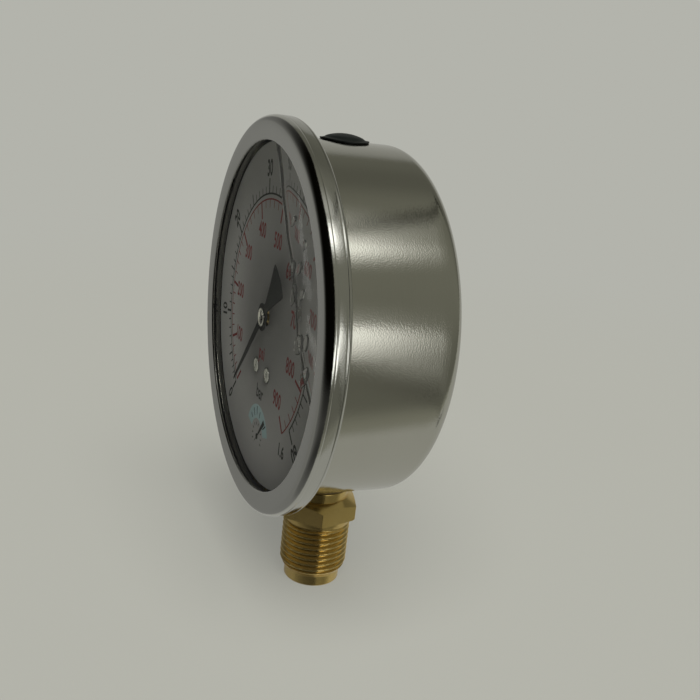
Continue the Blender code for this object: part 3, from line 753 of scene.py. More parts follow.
def filling_body():
    """The filling: a slab between dial and glass; only its free surface bends light."""
    mesh = bmesh.new()
    mark = mesh.faces.layers.int.new("free")
    rings = [add_verts(mesh, filling_outline(height)) for height in FILLING_LEVELS]
    for first, second in zip(rings, rings[1:]):
        for i, face in enumerate(bridge(mesh, first, second)):
            face[mark] = 1 if i < FREE_POINTS - 1 else 0
    for i in (0, -1):
        bridge(mesh, add_verts(mesh, [(-6.0, -FILLING_LEVELS[i], -4.0)]), rings[i])
    ob = finish_mesh("filling_liquid", mesh, 50)
    data = ob.data
    data.materials.append(LIQUID_FACE)
    data.materials.append(LIQUID)
    flags = np.zeros(len(data.polygons), np.int32)
    data.attributes["free"].data.foreach_get("value", flags)
    data.polygons.foreach_set("material_index", flags)
    register(ob, "window_glass")


# x, z, half width, half length
DROPS = [(22.6, 18.4, 1.7, 3.0), (27.6, 19.8, 1.5, 2.4), (25.4, 12.6, 1.8, 3.0),
         (31.2, 14.0, 1.2, 1.9), (32.6, 1.6, 2.4, 3.6), (37.2, 3.4, 1.5, 2.4),
         (38.4, -5.0, 1.9, 3.8), (20.4, 30.4, 1.2, 2.2), (29.4, 26.0, 0.9, 1.4)]


def filling_drops():
    """Uneven drops that cling to the back of the glass inside the bubble."""
    centre_y, glass_y, half_depth = -35.3, -35.36 * MM, 0.55
    mesh = bmesh.new()
    for k, (x, z, half_width, half_length) in enumerate(DROPS):
        turn = rad(35 + 20 * math.sin(k * 2.1))
        matrix = (Matrix.Translation((x * MM, centre_y * MM, z * MM))
                  @ Matrix.Rotation(turn, 4, "Y")
                  @ Matrix.Diagonal((half_width * MM, half_depth * MM, half_length * MM, 1.0)))
        drop = bmesh.ops.create_icosphere(mesh, subdivisions=3, radius=1.0, matrix=matrix)
        for vert in drop["verts"]:
            if vert.co.y < glass_y:
                vert.co.y = glass_y
            swell = 1 + 0.10 * math.sin(vert.co.x * 2900 + k) * math.cos(vert.co.z * 2500 + 2 * k)
            vert.co.x = x * MM + (vert.co.x - x * MM) * swell
            vert.co.z = z * MM + (vert.co.z - z * MM) * swell
    bmesh.ops.dissolve_degenerate(mesh, dist=1e-7, edges=mesh.edges)
    dress(finish_mesh("filling_drops", mesh, 60), LIQUID, "window_glass")


window_pane()
filling_body()
filling_drops()


# =================================================================== the dial
def dial_plate():
    profile = [(2.6, 28.05), (2.65, 28.1), (15, 28.1), (30, 28.1), (48.75, 28.1),
               (48.9, 27.95), (48.9, 27.2), (48.8, 27.1), (2.6, 27.1)]
    dial = lathe("dial_plate", profile, segments=256)
    holes = [lathe("screw_hole", [(0, 29), (1.35, 29), (1.35, 26), (0, 26)],
                   facing(side * SCREW_X, SCREW_Z), 32) for side in (-1, 1)]
    boolean(dial, holes)
    dress(dial, DIAL, "dial_white", "dial")


PRINT_LOW, PRINT_HIGH = 28.105, 28.14
PRINT_MID = (PRINT_LOW + PRINT_HIGH) / 2
SCALE_CENTRE = (-0.6, -0.9)     # the print sits a little off the pointer axis
BAR_R = 35.4                    # line of the black bar scale
PSI_R = 33.9                    # line of the red psi scale
PSI_PER_BAR = 14.5038
ZERO = 228.5                    # direction of the scale zero, anticlockwise from +X

# printed graduations: value in bar and its direction; the first few are closer together
MARK_BAR = [0, 1, 2, 3, 4, 5, 6, 9, 14, 18, 24, 30, 55, 60, 63]
MARK_DEG = [ZERO, 225.5, 222.5, 219.4, 216.1, 212.1, 207.9, 194.7, 173.0, 155.4, 128.1, 99.8,
            -16.9, -40.5, -54.6]


def bar_deg(value):
    return float(np.interp(value, MARK_BAR, MARK_DEG))


def psi_deg(value):
    return bar_deg(value / PSI_PER_BAR)


def at(radius, degrees):
    return (radius * math.cos(rad(degrees)), radius * math.sin(rad(degrees)))


def scale_line(radius, half_width, start, end, steps=200):
    """Printed arc."""
    mesh = bmesh.new()
    rows = []
    for i in range(steps + 1):
        angle = start + (end - start) * i / steps
        outer, inner = at(radius + half_width, angle), at(radius - half_width, angle)
        corners = ((outer, PRINT_LOW), (outer, PRINT_HIGH), (inner, PRINT_HIGH),
                   (inner, PRINT_LOW))
        rows.append(add_verts(mesh, [(p[0], -height, p[1]) for p, height in corners]))
    for first, second in zip(rows, rows[1:]):
        sweep(mesh, first, second)
    mesh.faces.new(rows[0])
    mesh.faces.new(list(reversed(rows[-1])))
    return finish_mesh("scale_line", mesh)


def ticks(marks):
    """Radial bars: (degrees, inner radius, outer radius, width)."""
    mesh = bmesh.new()
    for degrees, inner, outer, width in marks:
        c, s = at(1.0, degrees)
        turn = Matrix(((c, 0, -s, 0), (0, 1, 0, 0), (s, 0, c, 0), (0, 0, 0, 1)))
        size = ((outer - inner) * MM, (PRINT_HIGH - PRINT_LOW) * MM, width * MM, 1.0)
        middle = ((inner + outer) / 2 * MM, -PRINT_MID * MM, 0)
        bmesh.ops.create_cube(mesh, size=1.0, matrix=turn @ Matrix.Translation(middle)
                              @ Matrix.Diagonal(size))
    return finish_mesh("ticks", mesh)


def figure(text, size, x, z, squeeze, weight, turn=0.0):
    """Printed text centred on (x, z), turned anticlockwise; size is its cap height."""
    cap_height = 0.729      # of the font, as a part of its size
    curve = bpy.data.curves.new("figure", "FONT")
    curve.body = text
    curve.align_x = "CENTER"
    curve.size = size / cap_height * MM
    curve.offset = weight * MM
    curve.resolution_u = 3
    curve.extrude = (PRINT_HIGH - PRINT_LOW) / 2 * MM
    ob = link(bpy.data.objects.new("figure", curve))
    data = evaluated_mesh(ob)
    bpy.data.objects.remove(ob, do_unlink=True)
    data.transform(Matrix.Translation((0, -size / 2 * MM, 0)))
    data.transform(Matrix.Diagonal((squeeze, 1, 1, 1)))
    data.transform(Matrix.Rotation(rad(turn), 4, "Z"))
    data.transform(Matrix.Translation((x * MM, z * MM, 0)))
    return flat_to_object("figure", data, PRINT_MID, 1e-7)


def print_scale(name, parts, ink):
    ob = join(name, parts)
    ob.data.transform(Matrix.Translation((SCALE_CENTRE[0] * MM, 0, SCALE_CENTRE[1] * MM)))
    dress(ob, ink, "pointer_black")


def bar_scale():
    """Black scale with ticks outside its line."""
    parts = [scale_line(BAR_R, 0.26, bar_deg(60), bar_deg(0))]
    marks = []
    for value in range(0, 61):
        if value % 10 == 0:
            length, width = 4.2, 0.72
        elif value % 5 == 0:
            length, width = 3.5, 0.50
        else:
            length, width = 2.15, 0.38
        marks.append((bar_deg(value), BAR_R, BAR_R + length, width))
    parts.append(ticks(marks))
    for value in range(0, 61, 10):
        angle = bar_deg(value)
        parts.append(figure(str(value), 4.6, *at(42.7, angle), squeeze=0.74, weight=0.17,
                            turn=angle - 90.0))
    parts.append(figure("bar", 4.2, 0.5, -21.6, squeeze=0.80, weight=0.10))
    parts.append(figure("1.6", 3.7, 22.2, -30.8, squeeze=0.80, weight=0.13))
    print_scale("scale_print_black", parts, INK_BLACK)


def psi_scale():
    """Red scale with ticks inside its line."""
    parts = [scale_line(PSI_R, 0.22, psi_deg(900), psi_deg(0))]
    marks = []
    for value in range(0, 901, 20):
        length, width = (5.0, 0.85) if value % 100 == 0 else (2.4, 0.36)
        marks.append((psi_deg(value), PSI_R - length, PSI_R, width))
    parts.append(ticks(marks))
    for value in range(100, 901, 100):
        radius = 26.2 if value < 450 else 24.0
        nudge = 1.5 if value == 800 else 0
        parts.append(figure(str(value), 4.5, *at(radius, psi_deg(value) + nudge),
                            squeeze=0.70, weight=0.12))
    parts.append(figure("psi", 4.2, -0.6, -9.8, squeeze=0.80, weight=0.10))
    print_scale("scale_print_red", parts, INK_RED)


def emblem():
    """A plain pictogram of a dial under a fan of bars, on a teal sector."""
    centre_x, centre_z = 0.6, -36.2
    needle_deg = 50
    low, high = PRINT_LOW + 0.001, PRINT_HIGH + 0.012

    def sector(inner, outer, start, end, count):
        def edge(radius, first, last):
            return [(centre_x + radius * math.cos(rad(a)), centre_z + radius * math.sin(rad(a)))
                    for a in np.linspace(first, last, count)]
        return edge(outer, start, end) + edge(inner, end, start)

    def dark_sector(*shape):
        return prism("sector", sector(*shape), low, high)

    teal = [prism("sector", sector(5.4, 9.6, 18, 162, 30), PRINT_LOW, PRINT_HIGH)]
    # fan of bars; the needle takes the place of the second
    dark = [dark_sector(6.2 + 0.3 * (i % 2), 9.0 - 0.4 * (i % 3),
                        40 + 20 * i - 1.7, 40 + 20 * i + 1.7, 3) for i in range(6) if i != 1]
    # ticks of the small dial, and its hub
    dark += [dark_sector(3.4, 4.3, 205 - 25 * i - 2.6, 205 - 25 * i + 2.6, 3) for i in range(10)]
    dark += [dark_sector(0.0001, 0.9, 0, 359, 24)]
    # needle: a wedge, broad at the outer end
    c, s = at(1.0, needle_deg)
    tip = (centre_x + 8.4 * c, centre_z + 8.4 * s)
    tail = (centre_x - 3.4 * c, centre_z - 3.4 * s)
    side = (0.85 * s, -0.85 * c)
    wedge = [(tip[0] - side[0], tip[1] - side[1]), (tip[0] + side[0], tip[1] + side[1]), tail]
    dark += [prism("needle", wedge, low + 0.001, high + 0.004)]
    marks = join("dial_emblem", teal), join("dial_emblem_needle", dark)
    for ob, ink in zip(marks, (INK_TEAL, INK_BLACK)):
        dress(ob, ink, "pointer_black")


def dial_screw(number, x, z):
    """Slotted cheese-head screw that holds the dial."""
    seat, top, bottom = 28.16, 29.2, 25.1
    head_r, shank_r, edge_r = 2.3, 1.2, 0.28
    profile = [(0, top - 0.02), (head_r - 0.55, top)]
    profile += arc(head_r - edge_r, top - edge_r, edge_r, 90, 0, 5)
    profile += [(head_r, seat + 0.1), (head_r - 0.1, seat), (shank_r, seat),
                (shank_r, bottom + 0.2), (shank_r - 0.2, bottom), (0, bottom)]
    screw = lathe("dial_fixing_screw_%d" % number, profile, facing(x, z), 64, 40)
    boolean(screw, [slot_cutter(x, z, 2 * (head_r + 1), 0.6, top - 0.48, top + 1)], sharp=40)
    dress(screw, SCREW, "screw_steel", "dial_screw_%d" % number)


dial_plate()
bar_scale()
psi_scale()
emblem()
for number, side in enumerate((-1, 1), 1):
    dial_screw(number, side * SCREW_X, SCREW_Z)

# ================================================================ pointer set
# distance along the pointer from its axis, half width
BLADE = [(35.0, 0.12), (33.6, 0.5), (20.0, 0.86), (3.8, 1.22)]
TAIL = [(-4.6, 1.5), (-11.0, 3.45), (-17.0, 5.6)]
HUB_R = 4.0
TAIL_R = 18.5


def pointer_blade():
    """Blade at scale zero, round hub and flared tail."""
    across = at(1.0, ZERO + 90)

    def stations(rows, side):
        points = []
        for along, half_width in rows:
            x, z = at(along, ZERO)
            points.append((x + across[0] * (side * half_width),
                           z + across[1] * (side * half_width)))
        return points

    def hub(start):
        return [at(HUB_R, ZERO + start + 128 * i / 24) for i in range(25)]

    edge = stations(BLADE, 1) + hub(22) + stations(TAIL, 1)
    edge += [at(TAIL_R, ZERO + 180 - turn) for turn in np.linspace(16.5, -16.5, 15)]
    edge += stations(TAIL[::-1], -1) + hub(210) + stations(BLADE[::-1], -1)
    hole = [at(1.78, angle) for angle in range(0, 360, 8)]
    pointer = prism("pointer_blade", edge, 32.6, 33.1, bevel=0.07, holes=[hole], sharp=30)
    dress(pointer, POINTER, "pointer_black", "pointer", body="pointer_set")


def pointer_bush():
    profile = [(0.68, 34.50), (0.74, 34.55), (2.45, 34.55)] + arc(2.50, 34.30, 0.25, 85, 0, 5)
    profile += [(2.75, 33.3), (2.65, 33.16), (1.7, 33.16), (1.7, 32.54), (2.4, 32.54),
                (2.5, 32.44), (2.5, 31.8), (2.4, 31.7), (1.75, 31.6), (1.75, 29.5),
                (1.65, 29.4), (1.06, 29.4), (1.06, 31.45), (0.68, 31.6)]
    bush = lathe("pointer_hub_bush", profile, segments=72, sharp=40)
    boolean(bush, [slot_cutter(0, 0, 3.5, 0.54, 34.05, 36.0)], sharp=40)
    dress(bush, BUSH, "bush_nickel", "pointer_bush", body="pointer_set")


pointer_blade()
pointer_bush()


# =============================================================== filling plug
def filling_plug():
    """Domed rubber plug whose rim follows the round of the case."""
    cap_r, neck_r = 6.9, 4.85
    where = upright(PLUG_Y)
    angles = np.linspace(0, 2 * math.pi, 96, endpoint=False)
    mesh = bmesh.new()

    def case_top(x):
        return math.sqrt(CASE_R ** 2 - x * x)

    def crown(radius, angle):
        """Dome in the middle, blending to a lip above the case, with a faint groove."""
        part = radius / cap_r
        dome = 52.5 - 1.75 * part ** 2.1
        lip = case_top(radius * math.cos(angle)) + 0.55
        blend = max(0.0, (part - 0.72) / 0.28)
        blend = blend * blend * (3 - 2 * blend)
        groove = 0.06 * math.exp(-((part - 0.80) / 0.05) ** 2)
        return dome * (1 - blend) + lip * blend - groove

    def seated(radius, angle):
        return case_top(radius * math.cos(angle)) + 0.07

    def ring(radius, height):
        return add_verts(mesh, [where(radius, a, height(radius, a)) for a in angles])

    rings = [add_verts(mesh, [where(0, 0, crown(0.0, 0.0))])]
    rings += [ring(cap_r * (i / 22) ** 0.85, crown) for i in range(1, 22)]
    for inset, drop in ((0.02, 0.02), (0.0, 0.16), (0.03, 0.34)):
        rings.append(ring(cap_r - inset, lambda _, angle: crown(cap_r, angle) - drop))
    rings += [ring(cap_r - 0.12, seated), ring(neck_r, seated)]
    for radius, z in ((neck_r, 49.2), (4.72, 48.8), (neck_r, 48.4), (neck_r, 46.2), (4.15, 45.4)):
        rings.append(ring(radius, lambda *_: z))
    for first, second in zip(rings, rings[1:]):
        bridge(mesh, first, second)
    mesh.faces.new(rings[-1])
    dress(finish_mesh("filling_plug", mesh, 55), PLUG, "plug_rubber", "fill_plug", body="plug")


filling_plug()

# ======================================================================= stem
THREAD_PITCH = 1.814            # G 1/2
THREAD_CREST = 10.478
THREAD_ROOT = 9.316
THREAD_TOP, THREAD_BOTTOM = -64.55, -81.0
COLLAR_R = 10.16                # plain collar above the thread
HEX_FLATS = 22
HEX_BOTTOM, HEX_HEIGHT = -62.5, 8.4

# (radius, z)
ABOVE_THREAD = [(3.0, -40.6), (6.4, -40.6), (6.9, -41.1), (6.9, -52.9), (8.55, -53.02)]
ABOVE_THREAD += arc(8.62, -53.38, 0.28, 80, 0, 4)
ABOVE_THREAD += [(8.9, -55.9), (8.9, -57.4), (10.2, -57.6), (10.23, -62.9), (10.23, -63.9),
                 (COLLAR_R, -64.2)]
BELOW_THREAD = [(8.78, -81.25), (8.72, -81.5), (8.75, -81.8), (8.75, -84.15)]
BELOW_THREAD += arc(8.35, -84.2, 0.4, 0, -90, 4)
BELOW_THREAD += [(5.6, -84.6), (3.5, -84.6), (3.0, -84.1)]


def clamp(value):
    return min(max(value, 0.0), 1.0)


def thread_radius(angle, z):
    """Whitworth form on a helix, with run-out at the top and a taper at the bottom."""
    turn = ((z + 65.5) / THREAD_PITCH - angle / (2 * math.pi)) % 1.0
    flank = clamp((abs(turn - 0.5) * 2 - 0.10) / 0.76)
    depth = 1 - (flank * flank * (3 - 2 * flank) * 0.35 + flank * 0.65)
    radius = THREAD_CREST - (THREAD_CREST - THREAD_ROOT) * depth
    run_out = clamp((z + 65.3) / 0.75)
    radius = radius * (1 - run_out) + COLLAR_R * run_out
    taper = clamp((-77.9 - z) / 3.0)
    return min(radius, THREAD_CREST - 1.45 * taper * taper)


def stem_body():
    """Bored body: neck, collar, thread and spigot."""
    segments = 128
    angles = [2 * math.pi * i / segments for i in range(segments)]
    where = upright(STEM_Y)
    mesh = bmesh.new()

    def plain(rows):
        return [add_verts(mesh, [where(radius, a, z) for a in angles]) for radius, z in rows]

    rings = plain(ABOVE_THREAD)
    rings += [add_verts(mesh, [where(thread_radius(a, z), a, z) for a in angles])
              for z in np.linspace(THREAD_TOP, THREAD_BOTTOM, 236)]
    rings += plain(BELOW_THREAD)
    for first, second in zip(rings, rings[1:] + rings[:1]):
        bridge(mesh, first, second)
    return finish_mesh("stem_connection", mesh, 38)


def stem_hexagon():
    """Spanner hexagon with its corners turned to a cone."""
    mesh = bmesh.new()
    corner_r = HEX_FLATS / math.sqrt(3) * MM
    middle = (0, STEM_Y * MM, (HEX_BOTTOM + HEX_HEIGHT / 2) * MM)
    bmesh.ops.create_cone(mesh, cap_ends=True, segments=6, radius1=corner_r, radius2=corner_r,
                          depth=HEX_HEIGHT * MM, matrix=Matrix.Translation(middle)
                          @ Matrix.Rotation(rad(-105), 4, "Z"))
    upright_edges = [e for e in mesh.edges
                     if abs((e.verts[0].co - e.verts[1].co).z) > 0.005]
    bmesh.ops.bevel(mesh, geom=upright_edges, offset=0.16 * MM, segments=3, affect="EDGES",
                    profile=0.5)
    hexagon = finish_mesh("hex_blank", mesh, 50)
    cone = lathe("hex_cone", [(0, -56.1), (8.95, -56.1), (12.75, -58.05), (12.75, -62.1),
                              (12.3, HEX_BOTTOM), (0, HEX_BOTTOM)], upright(STEM_Y))
    return boolean(hexagon, [cone], "INTERSECT")


def stem():
    ob = boolean(stem_body(), [stem_hexagon()], "UNION", sharp=32)
    modifier = ob.modifiers.new("normals", "WEIGHTED_NORMAL")
    modifier.keep_sharp = True
    modifier.weight = 60
    dress(ob, BRASS, "stem_brass", "stem")


def stem_seal():
    """Fibre ring round the stem, its top cut to the round of the case."""
    seal = lathe("stem_seal_ring", [(7.1, -49.0), (9.3, -49.0), (9.3, -52.6), (9.15, -52.8),
                                    (7.1, -52.85)], upright(STEM_Y), 128)
    drum_r = CASE_R + 0.1
    drum = lathe("drum", [(0, 0), (drum_r, 0), (drum_r, 40), (0, 40)], segments=256)
    boolean(seal, [drum])
    dress(seal, FIBRE, "seal_fibre", "stem_gasket")


stem()
stem_seal()


# =============================================================== Bourdon tube
def bourdon_tube():
    """The flattened hollow C tube."""
    centre_z, height, bend_r = 1.0, 13.3, 31.0
    start, turn = -103.0, 287.0
    steps, around = 150, 28
    half_sizes = ((2.0, 4.5), (1.3, 3.8))   # radial and axial, outer skin then bore
    mesh = bmesh.new()
    skins = ([], [])
    for i in range(steps + 1):
        angle = rad(start - turn * i / steps)
        sections = ([], [])
        for k in range(around):
            t = 2 * math.pi * k / around
            # superellipse
            c, s = [math.copysign(abs(v) ** 0.8, v) for v in (math.cos(t), math.sin(t))]
            for section, (half_radial, half_axial) in zip(sections, half_sizes):
                radius = bend_r + half_radial * c
                section += add_verts(mesh, [(radius * math.cos(angle),
                                             -(height + half_axial * s),
                                             centre_z + radius * math.sin(angle))])
        for skin, section in zip(skins, sections):
            skin.append(section)
    for skin in skins:
        for first, second in zip(skin, skin[1:]):
            sweep(mesh, first, second)
    outer, bore = skins
    for end in (0, -1):
        sweep(mesh, outer[end], bore[end])
    tube = finish_mesh("bourdon_c_tube", mesh, 50)
    tube.data.materials.append(BRONZE)
    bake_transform(tube)
    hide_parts("bourdon_tube")


bourdon_tube()

# ===================================================== pieces kept from the CAD
# words in a piece's name and its material; the first match counts
CAD_LOOKS = [(("screw", "arbor"), SCREW), (("hairspring_",), BRASS_IN),
             (("hairspring",), BRONZE),
             (("link", "sector", "plate", "pillar", "spacer", "holder", "tip"), BRASS_IN),
             (("restrictor",), BRASS)]
for name, ob in NODES.items():
    if ob.hide_render:
        continue
    look = next((material for words, material in CAD_LOOKS
                 if any(word in name for word in words)), BRASS_IN)
    ob.data.materials.clear()
    ob.data.materials.append(look)
    shade(ob.data, 32)


# ====================================================================== world
# Directions are unit vectors x, y, z; a bearing is the angle round the Y axis, from +X to +Z.

# bearing, brightness, 0 = pale table or 1 = far room (yellower)
SURROUND = [(-180, .37, 0), (-64, .37, 0), (-62, .24, 1), (-55, .235, 1), (-51, .195, 1),
            (-47, .155, 1), (-42, .138, 1), (-25, .135, 1), (-10, .150, 1), (12, .175, 1),
            (38, .19, 1), (62, .19, 1), (80, .17, 1), (93, .172, 1), (100, .145, 1),
            (107, .120, 1), (117, .117, 1), (126, .133, 1), (136.5, .143, 1),
            (138.5, .235, 0), (143, .285, 0), (150, .31, 0), (160, .345, 0), (168, .37, 0)]
SURROUND_TINTS = ((1.0, 1.0, 0.92), (1.0, 1.0, 0.83))

# (y, brightness) of the lamps and (y, bearing) of their edges
LAMP1_LIGHT = [(-0.1, 2.4), (0.25, 1.9), (0.40, 1.25), (0.432, 0.92), (0.465, 0.47),
               (0.50, 0.09), (0.56, 0.0)]
LAMP1_START = [(-0.5, -34.0), (0.413, -9.0), (0.50, -31.0), (0.60, -57.0)]
LAMP1_END = [(-0.5, -30.0), (-0.07, -9.0), (0.40, 11.0), (0.50, 3.5), (0.60, -6.0)]
LAMP2_LIGHT = [(-0.1, 2.4), (0.25, 1.9), (0.385, 1.4), (0.403, 1.25), (0.436, 0.60),
               (0.467, 0.31), (0.489, 0.13), (0.54, 0.0)]
LAMP2_END = [(-0.5, 64.0), (0.403, 67.0), (0.489, 82.0), (0.60, 100.0)]
# (y, darkness) of the gaps beside the lamps
GAP1 = [(0.425, 0.0), (0.45, 0.35), (0.48, 0.68), (0.50, 0.75), (0.7, 0.75), (0.8, 0.0)]
GAP2 = [(0.39, 0.0), (0.405, 0.45), (0.42, 0.95), (0.47, 1.0), (0.7, 1.0), (0.85, 0.0)]

# In front of the dial, (distance along TABLE_AXIS, brightness): the table fades into a
# dark room. TABLE_SHIFT is (z, shift of that distance) on the -X side.
TABLE_AXIS = (0.808, -0.169, 0.566)
TABLE_LIGHT = [(-1.6, 1.22), (-0.76, 1.20), (-0.70, 1.0), (-0.62, 0.76), (-0.52, 0.69),
               (-0.34, 0.39), (-0.19, 0.20), (0.10, 0.035), (0.26, 0.0), (1.5, 0.0)]
TABLE_SHIFT = [(-1.0, 0.0), (-0.86, 0.10), (-0.78, 0.28), (-0.65, 0.50), (-0.42, 0.55),
               (-0.22, 0.22), (-0.03, 0.0), (1.0, 0.0)]
# (bearing, y) of the border between the surroundings and the front
BORDER = [(-180.0, 0.04), (-110.0, 0.04), (-60.0, 0.06), (-20.0, 0.03), (30.0, 0.0),
          (66.0, -0.10), (79.0, -0.16), (92.0, -0.08), (104.0, 0.03), (180.0, 0.04)]
# (z, brightness) of the front when the camera leaves its main direction
FRONT_FILL = [(-1.0, 0.16), (-0.5, 0.22), (-0.1, 0.30), (0.02, 0.48), (0.35, 0.62),
              (0.8, 0.50), (1.0, 0.42)]
MAIN_VIEW = (0.869, -0.431, 0.232)


def surround_colour(graph, bearing, y):
    warp = graph.mul(graph.ramp(y, over=(0.38, 0.60), to=(0.0, 13.0)),
                     graph.fade(bearing, over=(-30.0, -50.0)))
    node = graph.tree.nodes.new("ShaderNodeValToRGB")
    turn = graph.math("DIVIDE", graph.add(graph.sub(bearing, warp), 180.0), 360.0)
    graph.put(node.inputs[0], turn)
    stops = node.color_ramp.elements
    stops.remove(stops[-1])
    for i, (degrees, level, kind) in enumerate(SURROUND):
        position = (degrees + 180.0) / 360.0
        stop = stops.new(position) if i else stops[0]
        stop.position = position
        stop.color = (*[level * tint for tint in SURROUND_TINTS[kind]], 1.0)
    return node.outputs[0]


def lamps_and_gaps(graph, bearing, y):
    """Light of the two strip lamps, and a factor that darkens the gaps beside them."""
    add, sub, mul, off, fade = graph.add, graph.sub, graph.mul, graph.off, graph.fade
    light1 = graph.lines(y, LAMP1_LIGHT)
    start1 = graph.lines(y, LAMP1_START)
    end1 = graph.lines(y, LAMP1_END)
    lamp1 = mul(fade(sub(bearing, start1), over=(-4.0, 5.0)),
                off(fade(sub(bearing, end1), over=(-1.4, 1.4))),
                add(0.50, mul(0.50, fade(sub(bearing, end1), over=(-18.0, -3.0)))))
    # soft skirt beyond the end of the first lamp
    skirt = graph.ramp(sub(bearing, end1), over=(0.0, 17.0), to=(1.0, 0.0))
    lamp1 = add(lamp1, mul(0.24, skirt, skirt, fade(sub(bearing, end1), over=(-1.0, 1.0))))

    # the second lamp rises to a bright line, then falls to a plateau
    light2 = graph.lines(y, LAMP2_LIGHT)
    end2 = graph.lines(y, LAMP2_END)
    rise = fade(bearing, over=(40.0, 58.0))
    lamp2 = mul(rise, rise, add(0.45, mul(0.55, off(fade(bearing, over=(57.0, 65.5))))),
                off(fade(sub(bearing, end2), over=(-1.0, 1.0))))
    glow = mul(off(fade(bearing, over=(72.0, 91.0))),
               fade(sub(bearing, end2), over=(0.0, 4.0)),
               graph.ramp(y, over=(0.38, 0.43), to=(0.30, 0.0)))
    lamps = add(mul(lamp1, light1), mul(lamp2, light2), glow)

    # distance in bearing from the middle of each gap
    from_gap1 = graph.math("ABSOLUTE", add(sub(bearing, start1), 4.6))
    from_gap2 = graph.math("ABSOLUTE", sub(sub(bearing, end2), 2.9))
    gap1 = mul(off(fade(from_gap1, over=(1.4, 4.0))), graph.lines(y, GAP1))
    gap2 = mul(off(fade(from_gap2, over=(2.0, 3.5))), graph.lines(y, GAP2))
    return lamps, mul(off(gap1), off(gap2))


def front_light(graph, x, y, z):
    along = graph.add(*[graph.mul(v, part) for v, part in zip((x, y, z), TABLE_AXIS)])
    shift = graph.mul(graph.lines(z, TABLE_SHIFT), graph.fade(x, over=(-0.85, -0.50)))
    light = graph.lines(graph.sub(along, shift), TABLE_LIGHT)
    return graph.mul(light, 0.205, graph.fade(z, over=(-0.32, -0.12), to=(0.84, 1.0)))


def away_from_main_view(graph):
    """0 when the camera is in its main direction, 1 well away from it."""
    seat = graph.node("ShaderNodeVectorTransform", (0.0, 0.0, 0.0),
                      props={"vector_type": "POINT", "convert_from": "CAMERA",
                             "convert_to": "WORLD"})
    seat = graph.vector_math("NORMALIZE", seat)
    match = graph.vector_math("DOT_PRODUCT", seat, MAIN_VIEW, out="Value")
    return graph.fade(match, over=(0.975, 0.90))


def studio_world():
    """Painted room for reflections, even light for diffuse rays, flat backdrop for the camera."""
    world = bpy.data.worlds.new("studio")
    SCENE.world = world
    graph = Graph(world, "ShaderNodeOutputWorld", "Generated")
    add, mul = graph.add, graph.mul
    x, y, z = graph.split()
    bearing = mul(graph.math("ARCTAN2", z, x), 180.0 / math.pi)
    lamps, gaps = lamps_and_gaps(graph, bearing, y)
    behind = graph.fade(graph.sub(y, graph.lines(bearing, BORDER)), over=(-0.05, 0.03))
    lit = mul(gaps, behind)
    away = away_from_main_view(graph)
    front = graph.math("MAXIMUM", front_light(graph, x, y, z),
                       mul(away, graph.lines(z, FRONT_FILL)))
    front = mul(front, graph.off(behind))
    room = graph.vector_math("ADD", surround_colour(graph, bearing, y),
                             graph.vec(lamps, lamps, mul(lamps, 0.98)))
    # the front is slightly yellow, above a faint floor of light
    front_colour = graph.vec(add(front, 0.0022), add(front, 0.0020),
                             add(mul(front, 0.955), 0.0012))
    seen = graph.vector_math("ADD", graph.vector_math("MULTIPLY", room, graph.vec(lit, lit, lit)),
                             front_colour)

    glossy = graph.node("ShaderNodeBackground", Color=seen, Strength=1.0)
    soft = graph.node("ShaderNodeBackground", Color=(1.0, 1.0, 0.95),
                      Strength=add(0.045, mul(away, 0.12)))
    backdrop = graph.node("ShaderNodeBackground", Color=BACKDROP, Strength=1.0)
    rays = graph.tree.nodes.new("ShaderNodeLightPath").outputs
    other = graph.mix_shader(rays["Is Diffuse Ray"], glossy, soft)
    graph.finish(graph.mix_shader(rays["Is Camera Ray"], other, backdrop))


studio_world()


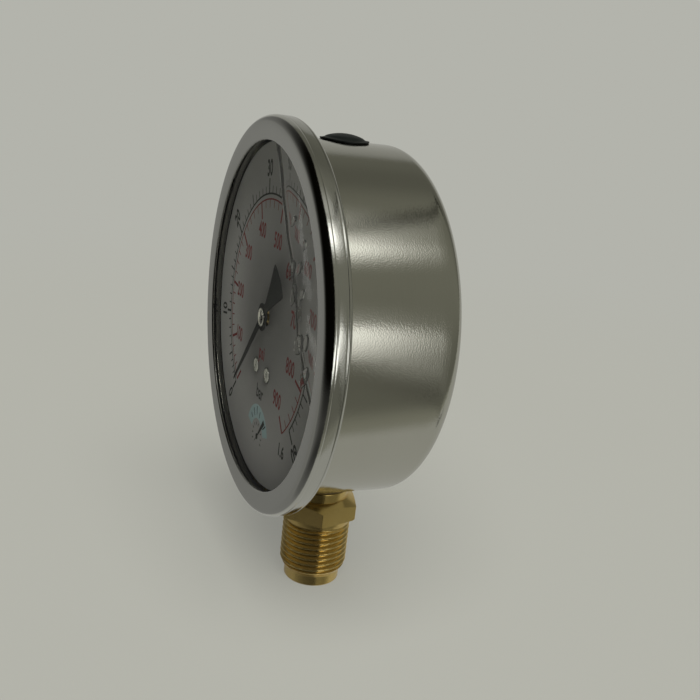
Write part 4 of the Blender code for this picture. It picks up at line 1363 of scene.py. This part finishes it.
# ============================================================ floor and light
def floor():
    """Paper disc under the gauge that fades into the backdrop colour; metres here."""
    mesh = bmesh.new()
    bmesh.ops.create_circle(mesh, cap_ends=True, segments=96, radius=6.0)
    ob = finish_mesh("floor", mesh)
    ob.location = (0, 0, CAD_LO.z - 0.0002)
    graph = new_graph("floor_paper")
    x, y, _ = graph.split()
    fleck = graph.noise(scale=420.0, detail=4.0, rough=0.6)
    wide = graph.noise(scale=6.0, detail=2.0, rough=0.5)
    colour = graph.mix(graph.ramp(wide, over=(0.3, 0.7), to=(0.0, 0.2)),
                       (0.66, 0.665, 0.60), (0.62, 0.625, 0.565))
    paper = graph.principled(Base_Color=colour, Roughness=0.85,
                             Normal=graph.bump(fleck, strength=0.12, distance=0.0002))
    glow = graph.node("ShaderNodeEmission", Color=BACKDROP, Strength=1.0)
    blend = graph.fade(graph.length(x, y), over=(0.15, 0.75), to=(0.50, 1.0))
    ob.data.materials.append(graph.finish(graph.mix_shader(blend, paper, glow)))
    ob.visible_glossy = False


def key_sun():
    """Broad soft light from above on the +X side, a little in front."""
    light = bpy.data.lights.new("key", "SUN")
    light.angle = rad(50.0)
    light.energy = 2.42
    light.color = (1.0, 0.99, 0.955)
    direction = Vector((0.52, -0.16, 0.83)).normalized()
    ob = link(bpy.data.objects.new("key", light))
    ob.location = direction
    ob.rotation_mode = "QUATERNION"
    ob.rotation_quaternion = direction.to_track_quat("Z", "Y")
    ob.visible_glossy = False


floor()
key_sun()


# ===================================================================== camera
def main_camera():
    azimuth, elevation, roll = rad(65.46), rad(15.88), rad(6.63)   # azimuth from -Y to +X
    place = (216.48, -107.33, 57.71)
    back = np.array([math.sin(azimuth) * math.cos(elevation),
                     -math.cos(azimuth) * math.cos(elevation), math.sin(elevation)])
    forward = -back
    right = np.cross(forward, [0, 0, 1])
    right /= np.linalg.norm(right)
    up = np.cross(right, forward)
    rolled_right = math.cos(roll) * right + math.sin(roll) * up
    rolled_up = -math.sin(roll) * right + math.cos(roll) * up
    data = bpy.data.cameras.new("camera")
    data.sensor_width = 36.0
    data.lens = 42.3761143
    data.clip_start = 0.01
    data.clip_end = 50.0
    camera = link(bpy.data.objects.new("camera", data))
    rows = [(rolled_right[i], rolled_up[i], back[i], place[i] * MM) for i in range(3)]
    camera.matrix_world = Matrix((*rows, (0, 0, 0, 1)))
    SCENE.camera = camera
    SCENE.view_settings.view_transform = "Standard"


main_camera()
